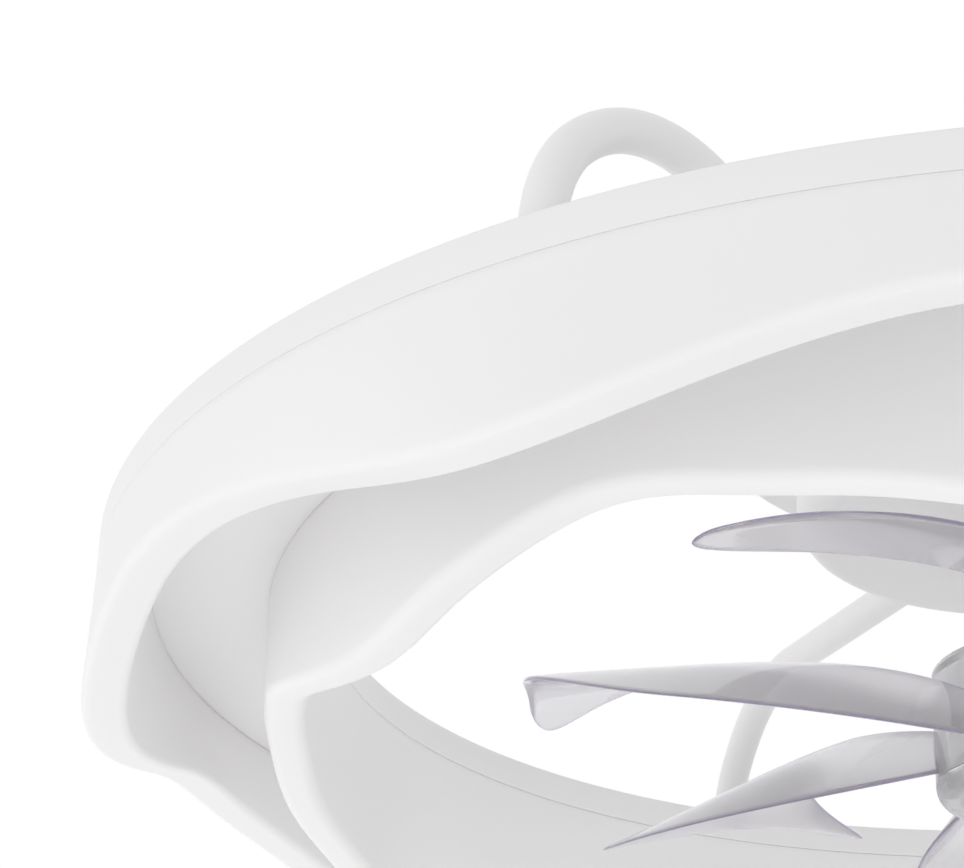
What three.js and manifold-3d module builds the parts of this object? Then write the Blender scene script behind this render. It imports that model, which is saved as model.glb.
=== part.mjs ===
// Orbital ceiling fan: a round two-step canopy on the ceiling carries three bent tube arms, which hold
// a ring lamp with two wavy milky strands, and a motor whose stem turns a hub of clear swept blades.
// Millimetres, +Z up. The origin is the middle of the ceiling face of the bracket, the front is -Y.
// Azimuths are degrees from the front (-Y) towards the left (-X), as seen from below.
import * as THREE from 'three';
import { mergeVertices } from 'three/addons/utils/BufferGeometryUtils.js';
import Module from 'manifold-3d';

const wasm = await Module();
wasm.setup();

// ---- Clearances and plain repeats ----
const GAP = 0.3;              // between pieces that touch
const RUN_GAP = 1.0;          // between still and turning pieces
const MEDIUM = 48;            // sides of the canopy, the motor and the light boards
const HUB_SIDES = 40;
const SMALL = 20;             // sides of shafts and bearings
const TINY = 8;               // sides of screws and their holes
const HOLE_STEPS = 8;         // steps in half a round hole of a plate
const CORNER_DEGREES = [0, 20, 45, 70, 90];  // where the points of a rounded edge lie

// ---- Ceiling bracket ----
const BRACKET_THICK = 2.5;
const BRACKET_HALF_WIDTH = 12;
const BRACKET_WIDE_END = 78;
const TAB_HALF_WIDTH = 6;
const TAB_THICK = 2.2;
const TAB_DROP = 16;
const SLOT_CENTRE = 45;
const SLOT_LENGTH = 18;
const SLOT_WIDTH = 6;

// ---- Canopy: upper tier and lower cup ----
const TIER_RADIUS = 86;
const TIER_HEIGHT = 24;
const TIER_WALL = 1.2;
const TIER_HOLE = 20;
const CUP_RADIUS = 64;
const CUP_HEIGHT = 31.8;
const CUP_WALL = 1.5;
const CUP_FLOOR = 2;
const CUP_CORNER = 8;
const CUP_LIP_WIDTH = 12;
const CANOPY_SCREW_DROP = 10;
const CANOPY_SCREW_REACH = 4; // of a side screw's end past the tab of the bracket
const SMALL_SCREW_RADIUS = 1.8;
const SMALL_HEAD_RADIUS = 3.6;
const SMALL_HEAD_HEIGHT = 2.2;
const HEAD_CROWN = 0.7;       // radius of the crown of a screw head, as a share of the head
const HEAD_SIDE = 0.6;        // height of the side of a screw head, as a share of the head
const CUP_SCREW_INSET = 6.5;  // from the inside of the cup wall to a screw
const CUP_SCREW_AZIMUTHS = [90, 210, 330];
const CUP_SCREW_REACH = 2;    // of a screw's end under the lip of the cup

// ---- Electrical boxes on the floor of the upper tier ----
const DRIVER_SIZE = [76, 34, 14];
const DRIVER_Y = 43;
const RECEIVER_SIZE = [66, 30, 12];
const RECEIVER_Y = -44;
const BOX_BEVEL = 1.2;
const BOX_CLEAR = 2;          // from the end of a box to the head of the screw beside it
const TERMINAL_SIZE = [34, 15, 11];
const TERMINAL_X = 53;
const TERMINAL_WELLS = 3;
const TERMINAL_WELL_PITCH = 10;
const TERMINAL_WELL_RADIUS = 2.2;
const TERMINAL_WELL_DEPTH = 6.5;

// ---- Motor, stem and shaft ----
const SHAFT_RADIUS = 4;
const SHOULDER_RADIUS = 5.5;
const SHAFT_HEAD_RADIUS = 7;
const SHAFT_HEAD_HEIGHT = 1.6;
const BEARING_RADIUS = 11;
const BEARING_HEIGHT = 7;
const BEARING_INSET = 0.5;
const STEM_RADIUS = 14;
const STEM_DROP = 35.4;
const STEM_FLANGE_RADIUS = 40;
const STEM_FLANGE_THICK = 2;
const BASE_RADIUS = 42;
const BASE_THICK = 2;
const BASE_BOSS_RADIUS = 13.5;
const MOTOR_SCREW_CIRCLE = 32;
const STATOR_RADIUS = 35.5;
const STATOR_HEIGHT = 9;
const STATOR_YOKE_RADIUS = 21;
const STATOR_TEETH = 12;
const STATOR_LIFT = 3;
const STATOR_NECK = 3;        // from the face of a tooth to its narrowest place
const STATOR_SHOE = 1.5;      // thickness of the shoe of a tooth
const MAGNET_THICK = 2.6;
const MAGNET_OVERHANG = 0.5;  // past each end of the stator
const BELL_RADIUS = 42.5;
const BELL_SKIRT = 1.8;
const BELL_TOP = 2;
const BELL_BOSS_RADIUS = 8;
const BELL_BOSS_HEIGHT = 2.4;

// ---- Hub and blades ----
const HUB_DROP = 37.9;        // from the underside of the cup to the top of the hub
const HUB_RADIUS = 29.5;
const HUB_HEIGHT = 32;
const HUB_WALL = 3;
const HUB_BOSS_RADIUS = 9;
const HUB_BOSS_HEIGHT = 15;
const HUB_BEVEL = 1;
const HUB_NUT_WIDTH = 13;
const HUB_NUT_HEIGHT = 4;
const SHAFT_PAST_NUT = 2;
const CAP_DROP = 5;
const CAP_ROUND = 5;
const CAP_WALL = 2.5;
const CAP_SPIGOT = 4;
const BLADES = 6;
// The two edges of a blade: azimuth in degrees and level from the top of the hub, each as root, tip, bow.
const BLADE_NEAR = { azimuth: [15.5, 55.7, -5.3], level: [-30.5, -30.2, -26.2], tipRadius: 155.2 };
const BLADE_FAR = { azimuth: [35.1, 104, 2.2], level: [-15.4, -9.8, 18.1], tipRadius: 149.1 };
const BLADE_HOLLOW = 15;      // how far the tip draws in half way between the edges
const BLADE_CAMBER = 11.5;    // rise of the middle of the blade above its edges, at the tip
const BLADE_ROOT_CLEAR = 1.2; // between the hub and the root of a blade
const BLADE_THICK = 2.2;
const BLADE_EDGE = 1.0;
const BLADE_STEPS = 13;
const BLADE_STEP_EASE = 1.6;  // how much closer the steps lie towards the tip
const BLADE_CORNER = 0.24;    // share of the length over which the tip corners are rounded
const BLADE_CORNER_NEAR = 0.95;  // share of the half chord that the corner takes off the near edge
const BLADE_CORNER_FAR = 0.67;
const TONGUE_LENGTH = 12;
const TONGUE_THICK = 1.6;
const TONGUE_INSIDE = 1.5;    // length of tongue that stands out inside the hub wall
const TONGUE_BITE = 0.8;      // length of tongue inside the blade

// ---- Ring lamp ----
const RING_DROP = 80;         // from the ceiling to the top of the ring
const RING_RADIUS = 250;
const RING_WIDTH = 60;
const RING_HEIGHT = 9.3;
const RING_SHEET = 1.2;
const BASE_PLATE_INSET = 2.4;
const BOARD_THICK = 1.2;
const BOARD_CLEAR = 1.2;
const STRAND_WALL = 2;
const STRAND_LIP = 1.3;
const STRAND_LIP_THICK = 1.8;
const WAVES = 7;
const STRAND_STEPS = 10;      // columns in one wave
const WALL_POWER = 1.5;       // how late a wall leaves the upright on its way down to the crease
// The crease of each strand: its radius from the rim that its strand hangs from and its depth under the top
// of the ring, each a mean with swings round the ring: the first swing once in a wave, the second twice,
// and so on. Crests are azimuths in degrees.
const OUTER_TOP_WIDTH = 14;
const OUTER_FLOOR_WIDTH = 11.3;
const OUTER_CREASE_INSET = 2.1;
const OUTER_CREASE_SWINGS = [3.6, 1.2];
const OUTER_CREASE_CRESTS = [11.8, -2.4];
const OUTER_DEPTH = 37.8;
const OUTER_DEPTH_SWINGS = [-7.6, -0.7];
const OUTER_DEPTH_CRESTS = [-2.2, 11.9];
const INNER_TOP_WIDTH = 15.5;
const INNER_FLOOR_WIDTH = 10.1;
const INNER_CREASE_INSET = 15.6;
const INNER_CREASE_SWINGS = [1.7, 1.65, 0.6];
const INNER_CREASE_CRESTS = [10.2, 7.3, 5.6];
const INNER_DEPTH = 47.9;
const INNER_DEPTH_SWINGS = [-7.5, -0.3, -0.35];
const INNER_DEPTH_CRESTS = [25, 0.5, 8.4];
const RING_SCREW_AZIMUTHS = [90, 210, 330];
const SPACER_RADIUS = 4;
const RING_SHANK_RADIUS = 2;
const RING_HEAD_RADIUS = 4;
const RING_HEAD_HEIGHT = 2.4;

// ---- Tube arms ----
const ARM_AZIMUTHS = [23, 152, 268];
const ARM_RADIUS = 5;
const ARM_BORE = 3.8;
const ARM_LEG_INSET = 11.5;   // from the outside of the ring to the middle of a leg
const ARM_ENTRY_DROP = 15.7;  // from the top of the cup to where the middle of an arm crosses its wall
const ARM_BEND_CUP = 67.8;    // radius of the bend next to the straight stretch
const ARM_BEND_LEG = 42;      // radius of the bend next to the leg
const ARM_BEND_JOIN = 45;     // degrees above level at which one bend turns into the other
const ARM_INSIDE = 9;         // length of tube inside the cup
const ARM_BELOW = 5.5;        // length of tube under the sheet of the ring
const ARM_STEPS = 24;
const ARM_SIDES = 10;
const ARM_BORE_SIDES = 6;
const ARM_NUT_WIDTH = 15;
const ARM_NUT_HEIGHT = 3.5;

// ---- Levels that follow from the sizes above ----
const tierFloor = -TIER_HEIGHT + TIER_WALL;
const cupTop = -TIER_HEIGHT - GAP;
const cupBottom = cupTop - CUP_HEIGHT;
const cupFloor = cupBottom + CUP_FLOOR;
const cupInner = CUP_RADIUS - CUP_WALL;
const cupScrewCircle = cupInner - CUP_SCREW_INSET;
const flangeTop = cupFloor + GAP + STEM_FLANGE_THICK;
const stemBottom = cupBottom - STEM_DROP;
const baseTop = flangeTop + GAP + BASE_THICK;
const statorBottom = baseTop + STATOR_LIFT;
const statorTop = statorBottom + STATOR_HEIGHT;
const bellUnder = statorTop + 2 * RUN_GAP;
const bellTop = bellUnder + BELL_TOP;
const shaftHeadUnder = bellTop + BELL_BOSS_HEIGHT + GAP;
const boreRadius = BEARING_RADIUS + GAP;
const shaftHole = SHAFT_RADIUS + GAP;
const hubTop = cupBottom - HUB_DROP;
const hubBottom = hubTop - HUB_HEIGHT;
const hubBossBottom = hubTop - HUB_WALL - HUB_BOSS_HEIGHT;
const ringTop = -RING_DROP;
const ringBottom = ringTop - RING_HEIGHT;
const basePlateTop = ringBottom + RING_SHEET;
const strandTop = ringBottom - GAP;
const ringInner = RING_RADIUS - RING_WIDTH;
const ringScrewCircle = RING_RADIUS - RING_WIDTH / 2;
const armLeg = RING_RADIUS - ARM_LEG_INSET;
const armEntry = cupTop - ARM_ENTRY_DROP;
const ringSides = WAVES * STRAND_STEPS;
const STRANDS = {
  diffuser_outer: {
    top: [RING_RADIUS, RING_RADIUS - OUTER_TOP_WIDTH],
    lipSide: 1,
    width: OUTER_FLOOR_WIDTH,
    radius: {
      mean: RING_RADIUS - OUTER_CREASE_INSET, swings: OUTER_CREASE_SWINGS, crests: OUTER_CREASE_CRESTS,
    },
    depth: { mean: OUTER_DEPTH, swings: OUTER_DEPTH_SWINGS, crests: OUTER_DEPTH_CRESTS },
  },
  diffuser_inner: {
    top: [ringInner + INNER_TOP_WIDTH, ringInner],
    lipSide: -1,
    width: INNER_FLOOR_WIDTH,
    radius: {
      mean: ringInner + INNER_CREASE_INSET, swings: INNER_CREASE_SWINGS, crests: INNER_CREASE_CRESTS,
    },
    depth: { mean: INNER_DEPTH, swings: INNER_DEPTH_SWINGS, crests: INNER_DEPTH_CRESTS },
  },
};

// ---- Materials ----
const look = (colour, roughness, metalness = 0, opacity = 1) => new THREE.MeshStandardMaterial({
  color: colour, roughness, metalness, opacity, transparent: opacity < 1,
});
const whitePaint = () => look(0xf1f1f1, 0.45);
const milkAcrylic = () => look(0xf7f7f5, 0.5);
const clearPlastic = () => look(0xcfcfd6, 0.12, 0, 0.45);
const zincSteel = () => look(0xb9bcc0, 0.35, 0.9);
const castAluminium = () => look(0xa9adb2, 0.4, 0.9);
const darkSteel = () => look(0x55585c, 0.5, 0.8);
const whitePlastic = () => look(0xe6e6e4, 0.6);
const blackPlastic = () => look(0x2a2a2c, 0.6);
const boardWhite = () => look(0xf4f4ee, 0.6);

// ---- Geometry helpers ----
const radians = THREE.MathUtils.degToRad;

// The unit vector in plan at an azimuth.
function outward(azimuth) {
  const angle = radians(azimuth);
  return new THREE.Vector3(-Math.sin(angle), -Math.cos(angle), 0);
}

// A point at an azimuth, a radius and a level.
function polar(azimuth, radius, level) {
  return outward(azimuth).multiplyScalar(radius).setZ(level);
}

// A solid of revolution about Z from [radius, level] points that run up the outside and down the inside.
function turned(profile, sides) {
  const points = profile.map(([radius, level]) => new THREE.Vector2(radius, level));
  const closed = profile[0][0] > 0 || profile.at(-1)[0] > 0;
  if (closed) points.push(points[0].clone());
  return new THREE.LatheGeometry(points, sides).rotateX(Math.PI / 2);
}

// A plain ring or tube from an inner to an outer radius between two levels.
function annulus(inner, outer, low, high, sides) {
  return turned([[outer, low], [outer, high], [inner, high], [inner, low]], sides);
}

// The rounded lower edge of a profile, from its flat underside up to its side.
function lowerCorner(radius, bottom, round) {
  return CORNER_DEGREES.map((degrees) => {
    const angle = radians(degrees - 90);
    return [radius - round * (1 - Math.cos(angle)), bottom + round * (1 + Math.sin(angle))];
  });
}

// A solid round bar between two levels.
function roundBar(radius, low, high, sides) {
  return new THREE.CylinderGeometry(radius, radius, high - low, sides)
    .rotateX(Math.PI / 2).translate(0, 0, (low + high) / 2);
}

// A plate of any outline, with round holes, between two levels.
function plate(outline, holes, low, high) {
  const shape = new THREE.Shape(outline);
  shape.holes.push(...holes);
  const options = { depth: high - low, bevelEnabled: false, curveSegments: HOLE_STEPS };
  return new THREE.ExtrudeGeometry(shape, options).translate(0, 0, low);
}

function block(size, centre) {
  return new THREE.BoxGeometry(...size).translate(...centre);
}

// A box with bevelled upright edges that stands on a level.
function bevelledBox([length, width, height], x, y, floor) {
  const [a, b] = [length / 2, width / 2];
  const corners = [[a, b - BOX_BEVEL], [a - BOX_BEVEL, b], [BOX_BEVEL - a, b], [-a, b - BOX_BEVEL],
    [-a, BOX_BEVEL - b], [BOX_BEVEL - a, -b], [a - BOX_BEVEL, -b], [a, BOX_BEVEL - b]];
  const outline = corners.map(([u, v]) => new THREE.Vector2(x + u, y + v));
  return plate(outline, [], floor, floor + height);
}

// A closed geometry as a solid that can be joined and cut, and back.
function toSolid(geometry) {
  const bare = new THREE.BufferGeometry();
  bare.setAttribute('position', geometry.getAttribute('position').clone());
  if (geometry.index) bare.setIndex(geometry.index.clone());
  const merged = mergeVertices(bare, 1e-4);
  return new wasm.Manifold(new wasm.Mesh({
    numProp: 3,
    vertProperties: new Float32Array(merged.getAttribute('position').array),
    triVerts: new Uint32Array(merged.index.array),
  }));
}

function toGeometry(solid) {
  const mesh = solid.getMesh();
  const geometry = new THREE.BufferGeometry();
  geometry.setAttribute('position', new THREE.BufferAttribute(mesh.vertProperties, 3));
  geometry.setIndex(new THREE.BufferAttribute(mesh.triVerts, 1));
  geometry.computeVertexNormals();
  return geometry;
}

function cut(geometry, tools) {
  return toGeometry(tools.reduce((solid, tool) => solid.subtract(toSolid(tool)), toSolid(geometry)));
}

function join(geometries) {
  return toGeometry(geometries.map(toSolid).reduce((solid, next) => solid.add(next)));
}

// An upright round hole at an azimuth, cut between two levels.
function drill(azimuth, circle, radius, low, high, sides = TINY) {
  const { x, y } = polar(azimuth, circle, 0);
  return roundBar(radius, low, high, sides).translate(x, y, 0);
}

// A screw that hangs from its pan head: the shank runs down from the level under the head.
function panScrew(shankRadius, headRadius, headHeight, under, length) {
  return turned([[0, under - length], [shankRadius, under - length], [shankRadius, under],
    [headRadius, under], [headRadius, under + headHeight * HEAD_SIDE],
    [headRadius * HEAD_CROWN, under + headHeight], [0, under + headHeight]], TINY);
}

// The small screw that the canopy and the motor are put together with.
function smallScrew(under, length) {
  return panScrew(SMALL_SCREW_RADIUS, SMALL_HEAD_RADIUS, SMALL_HEAD_HEIGHT, under, length);
}

// Evenly spaced points on a circle.
function circlePoints(radius, sides) {
  return Array.from({ length: sides }, (_, i) => {
    const angle = (i * 2 * Math.PI) / sides;
    return new THREE.Vector2(radius * Math.cos(angle), radius * Math.sin(angle));
  });
}

// A hexagonal nut with an upright bore, its lower face at a level.
function hexNut(width, bore, low, height) {
  const outline = circlePoints(width / Math.sqrt(3), 6);
  return plate(outline, [new THREE.Path().absarc(0, 0, bore, 0, 2 * Math.PI, true)], low, low + height);
}

const fan = new THREE.Group();

function addPiece(name, geometry, material, parent = fan) {
  const mesh = new THREE.Mesh(geometry, material);
  mesh.name = name;
  parent.add(mesh);
  return mesh;
}

// ---- Ceiling bracket with its two side tabs ----
function buildBracket() {
  const tabOuter = Math.sqrt((TIER_RADIUS - TIER_WALL) ** 2 - TAB_HALF_WIDTH ** 2) - GAP;
  const outline = [[BRACKET_WIDE_END, BRACKET_HALF_WIDTH], [-BRACKET_WIDE_END, BRACKET_HALF_WIDTH],
    [-BRACKET_WIDE_END, TAB_HALF_WIDTH], [-tabOuter, TAB_HALF_WIDTH], [-tabOuter, -TAB_HALF_WIDTH],
    [-BRACKET_WIDE_END, -TAB_HALF_WIDTH], [-BRACKET_WIDE_END, -BRACKET_HALF_WIDTH],
    [BRACKET_WIDE_END, -BRACKET_HALF_WIDTH], [BRACKET_WIDE_END, -TAB_HALF_WIDTH],
    [tabOuter, -TAB_HALF_WIDTH], [tabOuter, TAB_HALF_WIDTH], [BRACKET_WIDE_END, TAB_HALF_WIDTH]]
    .map(([x, y]) => new THREE.Vector2(x, y));
  const slots = [-1, 1].map((side) => {
    const half = (SLOT_LENGTH - SLOT_WIDTH) / 2;
    const radius = SLOT_WIDTH / 2;
    const slot = new THREE.Path();
    slot.absarc(side * SLOT_CENTRE + half, 0, radius, -Math.PI / 2, Math.PI / 2, false);
    slot.absarc(side * SLOT_CENTRE - half, 0, radius, Math.PI / 2, (3 * Math.PI) / 2, false);
    slot.closePath();
    return slot;
  });
  const bar = plate(outline, slots, -BRACKET_THICK, 0);
  const tabs = [-1, 1].map((side) => block([TAB_THICK, 2 * TAB_HALF_WIDTH, TAB_DROP],
    [side * (tabOuter - TAB_THICK / 2), 0, -TAB_DROP / 2]));
  const bore = SMALL_SCREW_RADIUS + GAP;
  const screwHole = roundBar(bore, -TIER_RADIUS - 1, TIER_RADIUS + 1, TINY)
    .rotateY(Math.PI / 2).translate(0, 0, -CANOPY_SCREW_DROP);
  addPiece('ceiling_bracket', cut(join([bar, ...tabs]), [screwHole]), zincSteel());
}

// ---- Upper tier of the canopy, open towards the ceiling ----
function buildTier() {
  const inner = TIER_RADIUS - TIER_WALL;
  const shell = turned([[TIER_RADIUS, -TIER_HEIGHT], [TIER_RADIUS, 0], [inner, 0], [inner, tierFloor],
    [TIER_HOLE, tierFloor], [TIER_HOLE, -TIER_HEIGHT]], MEDIUM);
  const sideHole = roundBar(SMALL_SCREW_RADIUS + GAP, -TIER_RADIUS - 1, TIER_RADIUS + 1, TINY)
    .rotateY(Math.PI / 2).translate(0, 0, -CANOPY_SCREW_DROP);
  const floorHoles = CUP_SCREW_AZIMUTHS.map((azimuth) => drill(azimuth, cupScrewCircle,
    SMALL_SCREW_RADIUS + GAP, -TIER_HEIGHT - 1, tierFloor + 1));
  addPiece('canopy_tier', cut(shell, [sideHole, ...floorHoles]), whitePaint());
}

function buildCanopyScrews() {
  const length = TIER_WALL + TAB_THICK + CANOPY_SCREW_REACH;
  for (const [name, side] of [['canopy_screw_left', -1], ['canopy_screw_right', 1]]) {
    const screw = smallScrew(GAP, length);
    screw.rotateY((side * Math.PI) / 2).translate(side * TIER_RADIUS, 0, -CANOPY_SCREW_DROP);
    addPiece(name, screw, zincSteel());
  }
}

// ---- The middle line of an arm in its upright plane, where x is the radius and y is the level ----
// It climbs straight out of the cup, then bends down, wide at first and tighter next to the upright leg.
const armSpoke = (angle, radius) =>
  new THREE.Vector2(Math.cos(angle), Math.sin(angle)).multiplyScalar(radius);
const armBendJoin = radians(ARM_BEND_JOIN);
const legBendCentre = new THREE.Vector2(armLeg - ARM_BEND_LEG, ringTop);
const cupBendCentre = armSpoke(armBendJoin, ARM_BEND_LEG - ARM_BEND_CUP).add(legBendCentre);

// How far an arm climbs, in radians: the straight stretch touches the wide bend from above.
function armClimb() {
  const across = cupBendCentre.clone().sub(new THREE.Vector2(CUP_RADIUS, armEntry));
  return Math.atan2(across.y, across.x) + Math.asin(ARM_BEND_CUP / across.length());
}

// The level of the straight stretch at a radius.
const armLevel = (radius) => armEntry + (radius - CUP_RADIUS) * Math.tan(armClimb());

function armLine() {
  const inner = CUP_RADIUS - ARM_INSIDE;
  const bend = armClimb() + Math.PI / 2;
  const bendStart = armSpoke(bend, ARM_BEND_CUP).add(cupBendCentre);
  const line = new THREE.Path();
  line.moveTo(inner, armLevel(inner));
  line.lineTo(bendStart.x, bendStart.y);
  line.absarc(cupBendCentre.x, cupBendCentre.y, ARM_BEND_CUP, bend, armBendJoin, true);
  line.absarc(legBendCentre.x, legBendCentre.y, ARM_BEND_LEG, armBendJoin, 0, true);
  line.lineTo(armLeg, ringTop - RING_SHEET - ARM_BELOW);
  return line;
}

// A round bar along the straight stretch, for the hole in the cup wall.
function armHole(azimuth, radius) {
  const direction = outward(azimuth).setZ(Math.tan(armClimb())).normalize();
  const turn = new THREE.Quaternion().setFromUnitVectors(new THREE.Vector3(0, 0, 1), direction);
  return roundBar(radius, -ARM_INSIDE, ARM_INSIDE, SMALL).applyQuaternion(turn)
    .translate(...polar(azimuth, CUP_RADIUS, armEntry));
}

// ---- Lower cup of the canopy: it carries the arms and the motor ----
function buildCup() {
  const lipInner = cupInner - CUP_LIP_WIDTH;
  const lipUnder = cupTop - CUP_WALL;
  const outside = lowerCorner(CUP_RADIUS, cupBottom, CUP_CORNER);
  const inside = lowerCorner(cupInner, cupFloor, CUP_CORNER - CUP_WALL).toReversed();
  const shell = turned([...outside, [CUP_RADIUS, cupTop], [lipInner, cupTop], [lipInner, lipUnder],
    [cupInner, lipUnder], ...inside, [STEM_RADIUS + GAP, cupFloor], [STEM_RADIUS + GAP, cupBottom]], MEDIUM);
  const lipHoles = CUP_SCREW_AZIMUTHS.map((azimuth) => drill(azimuth, cupScrewCircle,
    SMALL_SCREW_RADIUS + GAP, lipUnder - 1, cupTop + 1));
  const floorHoles = CUP_SCREW_AZIMUTHS.map((azimuth) => drill(azimuth, MOTOR_SCREW_CIRCLE,
    SMALL_SCREW_RADIUS + GAP, cupBottom - 1, cupFloor + 1));
  const armHoles = ARM_AZIMUTHS.map((azimuth) => armHole(azimuth, ARM_RADIUS + GAP));
  addPiece('canopy_cup', cut(shell, [...lipHoles, ...floorHoles, ...armHoles]), whitePaint());
}

function buildCupScrews() {
  CUP_SCREW_AZIMUTHS.forEach((azimuth, i) => {
    const under = tierFloor + GAP;
    const length = under - (cupTop - CUP_WALL) + CUP_SCREW_REACH;
    const screw = addPiece(`cup_screw_${i + 1}`, smallScrew(under, length), zincSteel());
    screw.position.copy(polar(azimuth, cupScrewCircle, 0));
  });
}

function buildElectrics() {
  const floor = tierFloor + GAP;
  const screwX = polar(CUP_SCREW_AZIMUTHS[1], cupScrewCircle, 0).x;
  const boxEnd = screwX - SMALL_HEAD_RADIUS - BOX_CLEAR;
  const driver = bevelledBox(DRIVER_SIZE, boxEnd - DRIVER_SIZE[0] / 2, DRIVER_Y, floor);
  addPiece('led_driver', driver, whitePlastic());
  const receiver = bevelledBox(RECEIVER_SIZE, boxEnd - RECEIVER_SIZE[0] / 2, RECEIVER_Y, floor);
  addPiece('remote_receiver', receiver, blackPlastic());
  const top = floor + TERMINAL_SIZE[2];
  const body = block(TERMINAL_SIZE, [TERMINAL_X, 0, (floor + top) / 2]);
  const wells = Array.from({ length: TERMINAL_WELLS }, (_, i) => roundBar(TERMINAL_WELL_RADIUS,
    top - TERMINAL_WELL_DEPTH, top + 1, TINY)
    .translate(TERMINAL_X + (i - (TERMINAL_WELLS - 1) / 2) * TERMINAL_WELL_PITCH, 0, 0));
  addPiece('terminal_block', cut(body, wells), whitePlastic());
}

// ---- Stem, motor base and stator: the still half of the motor ----
function buildStem() {
  const flangeLow = cupFloor + GAP;
  const tube = turned([[STEM_RADIUS, stemBottom], [STEM_RADIUS, flangeLow], [STEM_FLANGE_RADIUS, flangeLow],
    [STEM_FLANGE_RADIUS, flangeTop], [boreRadius, flangeTop], [boreRadius, stemBottom]], MEDIUM);
  const holes = CUP_SCREW_AZIMUTHS.map((azimuth) => drill(azimuth, MOTOR_SCREW_CIRCLE,
    SMALL_SCREW_RADIUS + GAP, flangeLow - 1, flangeTop + 1));
  addPiece('motor_stem', cut(tube, holes), whitePaint());
}

function buildMotorBase() {
  const low = flangeTop + GAP;
  const boss = turned([[BASE_RADIUS, low], [BASE_RADIUS, baseTop], [BASE_BOSS_RADIUS, baseTop],
    [BASE_BOSS_RADIUS, statorTop], [boreRadius, statorTop], [boreRadius, low]], MEDIUM);
  const holes = CUP_SCREW_AZIMUTHS.map((azimuth) => drill(azimuth, MOTOR_SCREW_CIRCLE,
    SMALL_SCREW_RADIUS + GAP, low - 1, baseTop + 1));
  addPiece('motor_base', cut(boss, holes), castAluminium());
}

function buildMotorScrews() {
  CUP_SCREW_AZIMUTHS.forEach((azimuth, i) => {
    const under = baseTop + GAP;
    const screw = addPiece(`motor_screw_${i + 1}`, smallScrew(under, under - cupBottom), zincSteel());
    screw.position.copy(polar(azimuth, MOTOR_SCREW_CIRCLE, 0));
  });
}

// A yoke with teeth that end in wide shoes.
function buildStator() {
  const pitch = (2 * Math.PI) / STATOR_TEETH;
  const outline = [];
  const [neck, shoe] = [STATOR_RADIUS - STATOR_NECK, STATOR_RADIUS - STATOR_SHOE];
  // Each step: an angle as a share of the pitch, and a radius.
  const toothSteps = [[-0.5, STATOR_YOKE_RADIUS], [-0.17, STATOR_YOKE_RADIUS], [-0.12, neck], [-0.36, shoe],
    [-0.36, STATOR_RADIUS], [0, STATOR_RADIUS], [0.36, STATOR_RADIUS], [0.36, shoe], [0.12, neck],
    [0.17, STATOR_YOKE_RADIUS]];
  for (let tooth = 0; tooth < STATOR_TEETH; tooth += 1) {
    for (const [share, radius] of toothSteps) {
      const angle = (tooth + share) * pitch;
      outline.push(new THREE.Vector2(radius * Math.cos(angle), radius * Math.sin(angle)));
    }
  }
  const bore = new THREE.Path(circlePoints(BASE_BOSS_RADIUS + GAP, MEDIUM));
  addPiece('motor_stator', plate(outline, [bore], statorBottom, statorTop), darkSteel());
}

function buildBearings() {
  const upperTop = statorTop - BEARING_INSET;
  const lowerLow = stemBottom + BEARING_INSET;
  for (const [name, low] of [['bearing_upper', upperTop - BEARING_HEIGHT], ['bearing_lower', lowerLow]]) {
    addPiece(name, annulus(shaftHole, BEARING_RADIUS, low, low + BEARING_HEIGHT, SMALL), zincSteel());
  }
}

// ---- Turning half of the motor ----
function buildBell() {
  const skirtInner = BELL_RADIUS - BELL_SKIRT;
  const skirtLow = baseTop + 2 * RUN_GAP;
  const bossTop = bellTop + BELL_BOSS_HEIGHT;
  addPiece('motor_bell', turned([[BELL_RADIUS, skirtLow], [BELL_RADIUS, bellTop], [BELL_BOSS_RADIUS, bellTop],
    [BELL_BOSS_RADIUS, bossTop], [shaftHole, bossTop], [shaftHole, bellUnder], [skirtInner, bellUnder],
    [skirtInner, skirtLow]], MEDIUM), castAluminium());
  const magnetOuter = skirtInner - GAP;
  addPiece('magnet_ring', annulus(magnetOuter - MAGNET_THICK, magnetOuter,
    statorBottom - MAGNET_OVERHANG, statorTop + MAGNET_OVERHANG, MEDIUM), darkSteel());
}

function buildShaft() {
  const shoulderHigh = statorTop - BEARING_INSET - BEARING_HEIGHT - GAP;
  const shoulderLow = stemBottom + BEARING_INSET + BEARING_HEIGHT + GAP;
  const bottom = hubBossBottom - GAP - HUB_NUT_HEIGHT - SHAFT_PAST_NUT;
  const headTop = shaftHeadUnder + SHAFT_HEAD_HEIGHT;
  addPiece('drive_shaft', turned([[0, bottom], [SHAFT_RADIUS, bottom], [SHAFT_RADIUS, shoulderLow],
    [SHOULDER_RADIUS, shoulderLow], [SHOULDER_RADIUS, shoulderHigh], [SHAFT_RADIUS, shoulderHigh],
    [SHAFT_RADIUS, shaftHeadUnder], [SHAFT_HEAD_RADIUS, shaftHeadUnder], [SHAFT_HEAD_RADIUS, headTop],
    [0, headTop]], SMALL), zincSteel());
}

// ---- Blades: a surface between a near edge and a far edge ----
// The value that runs from a root to a tip along an edge, with a bow between them.
const along3 = ([root, tip, bow], along) => root + (tip - root) * along + bow * along * (1 - along);

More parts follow.
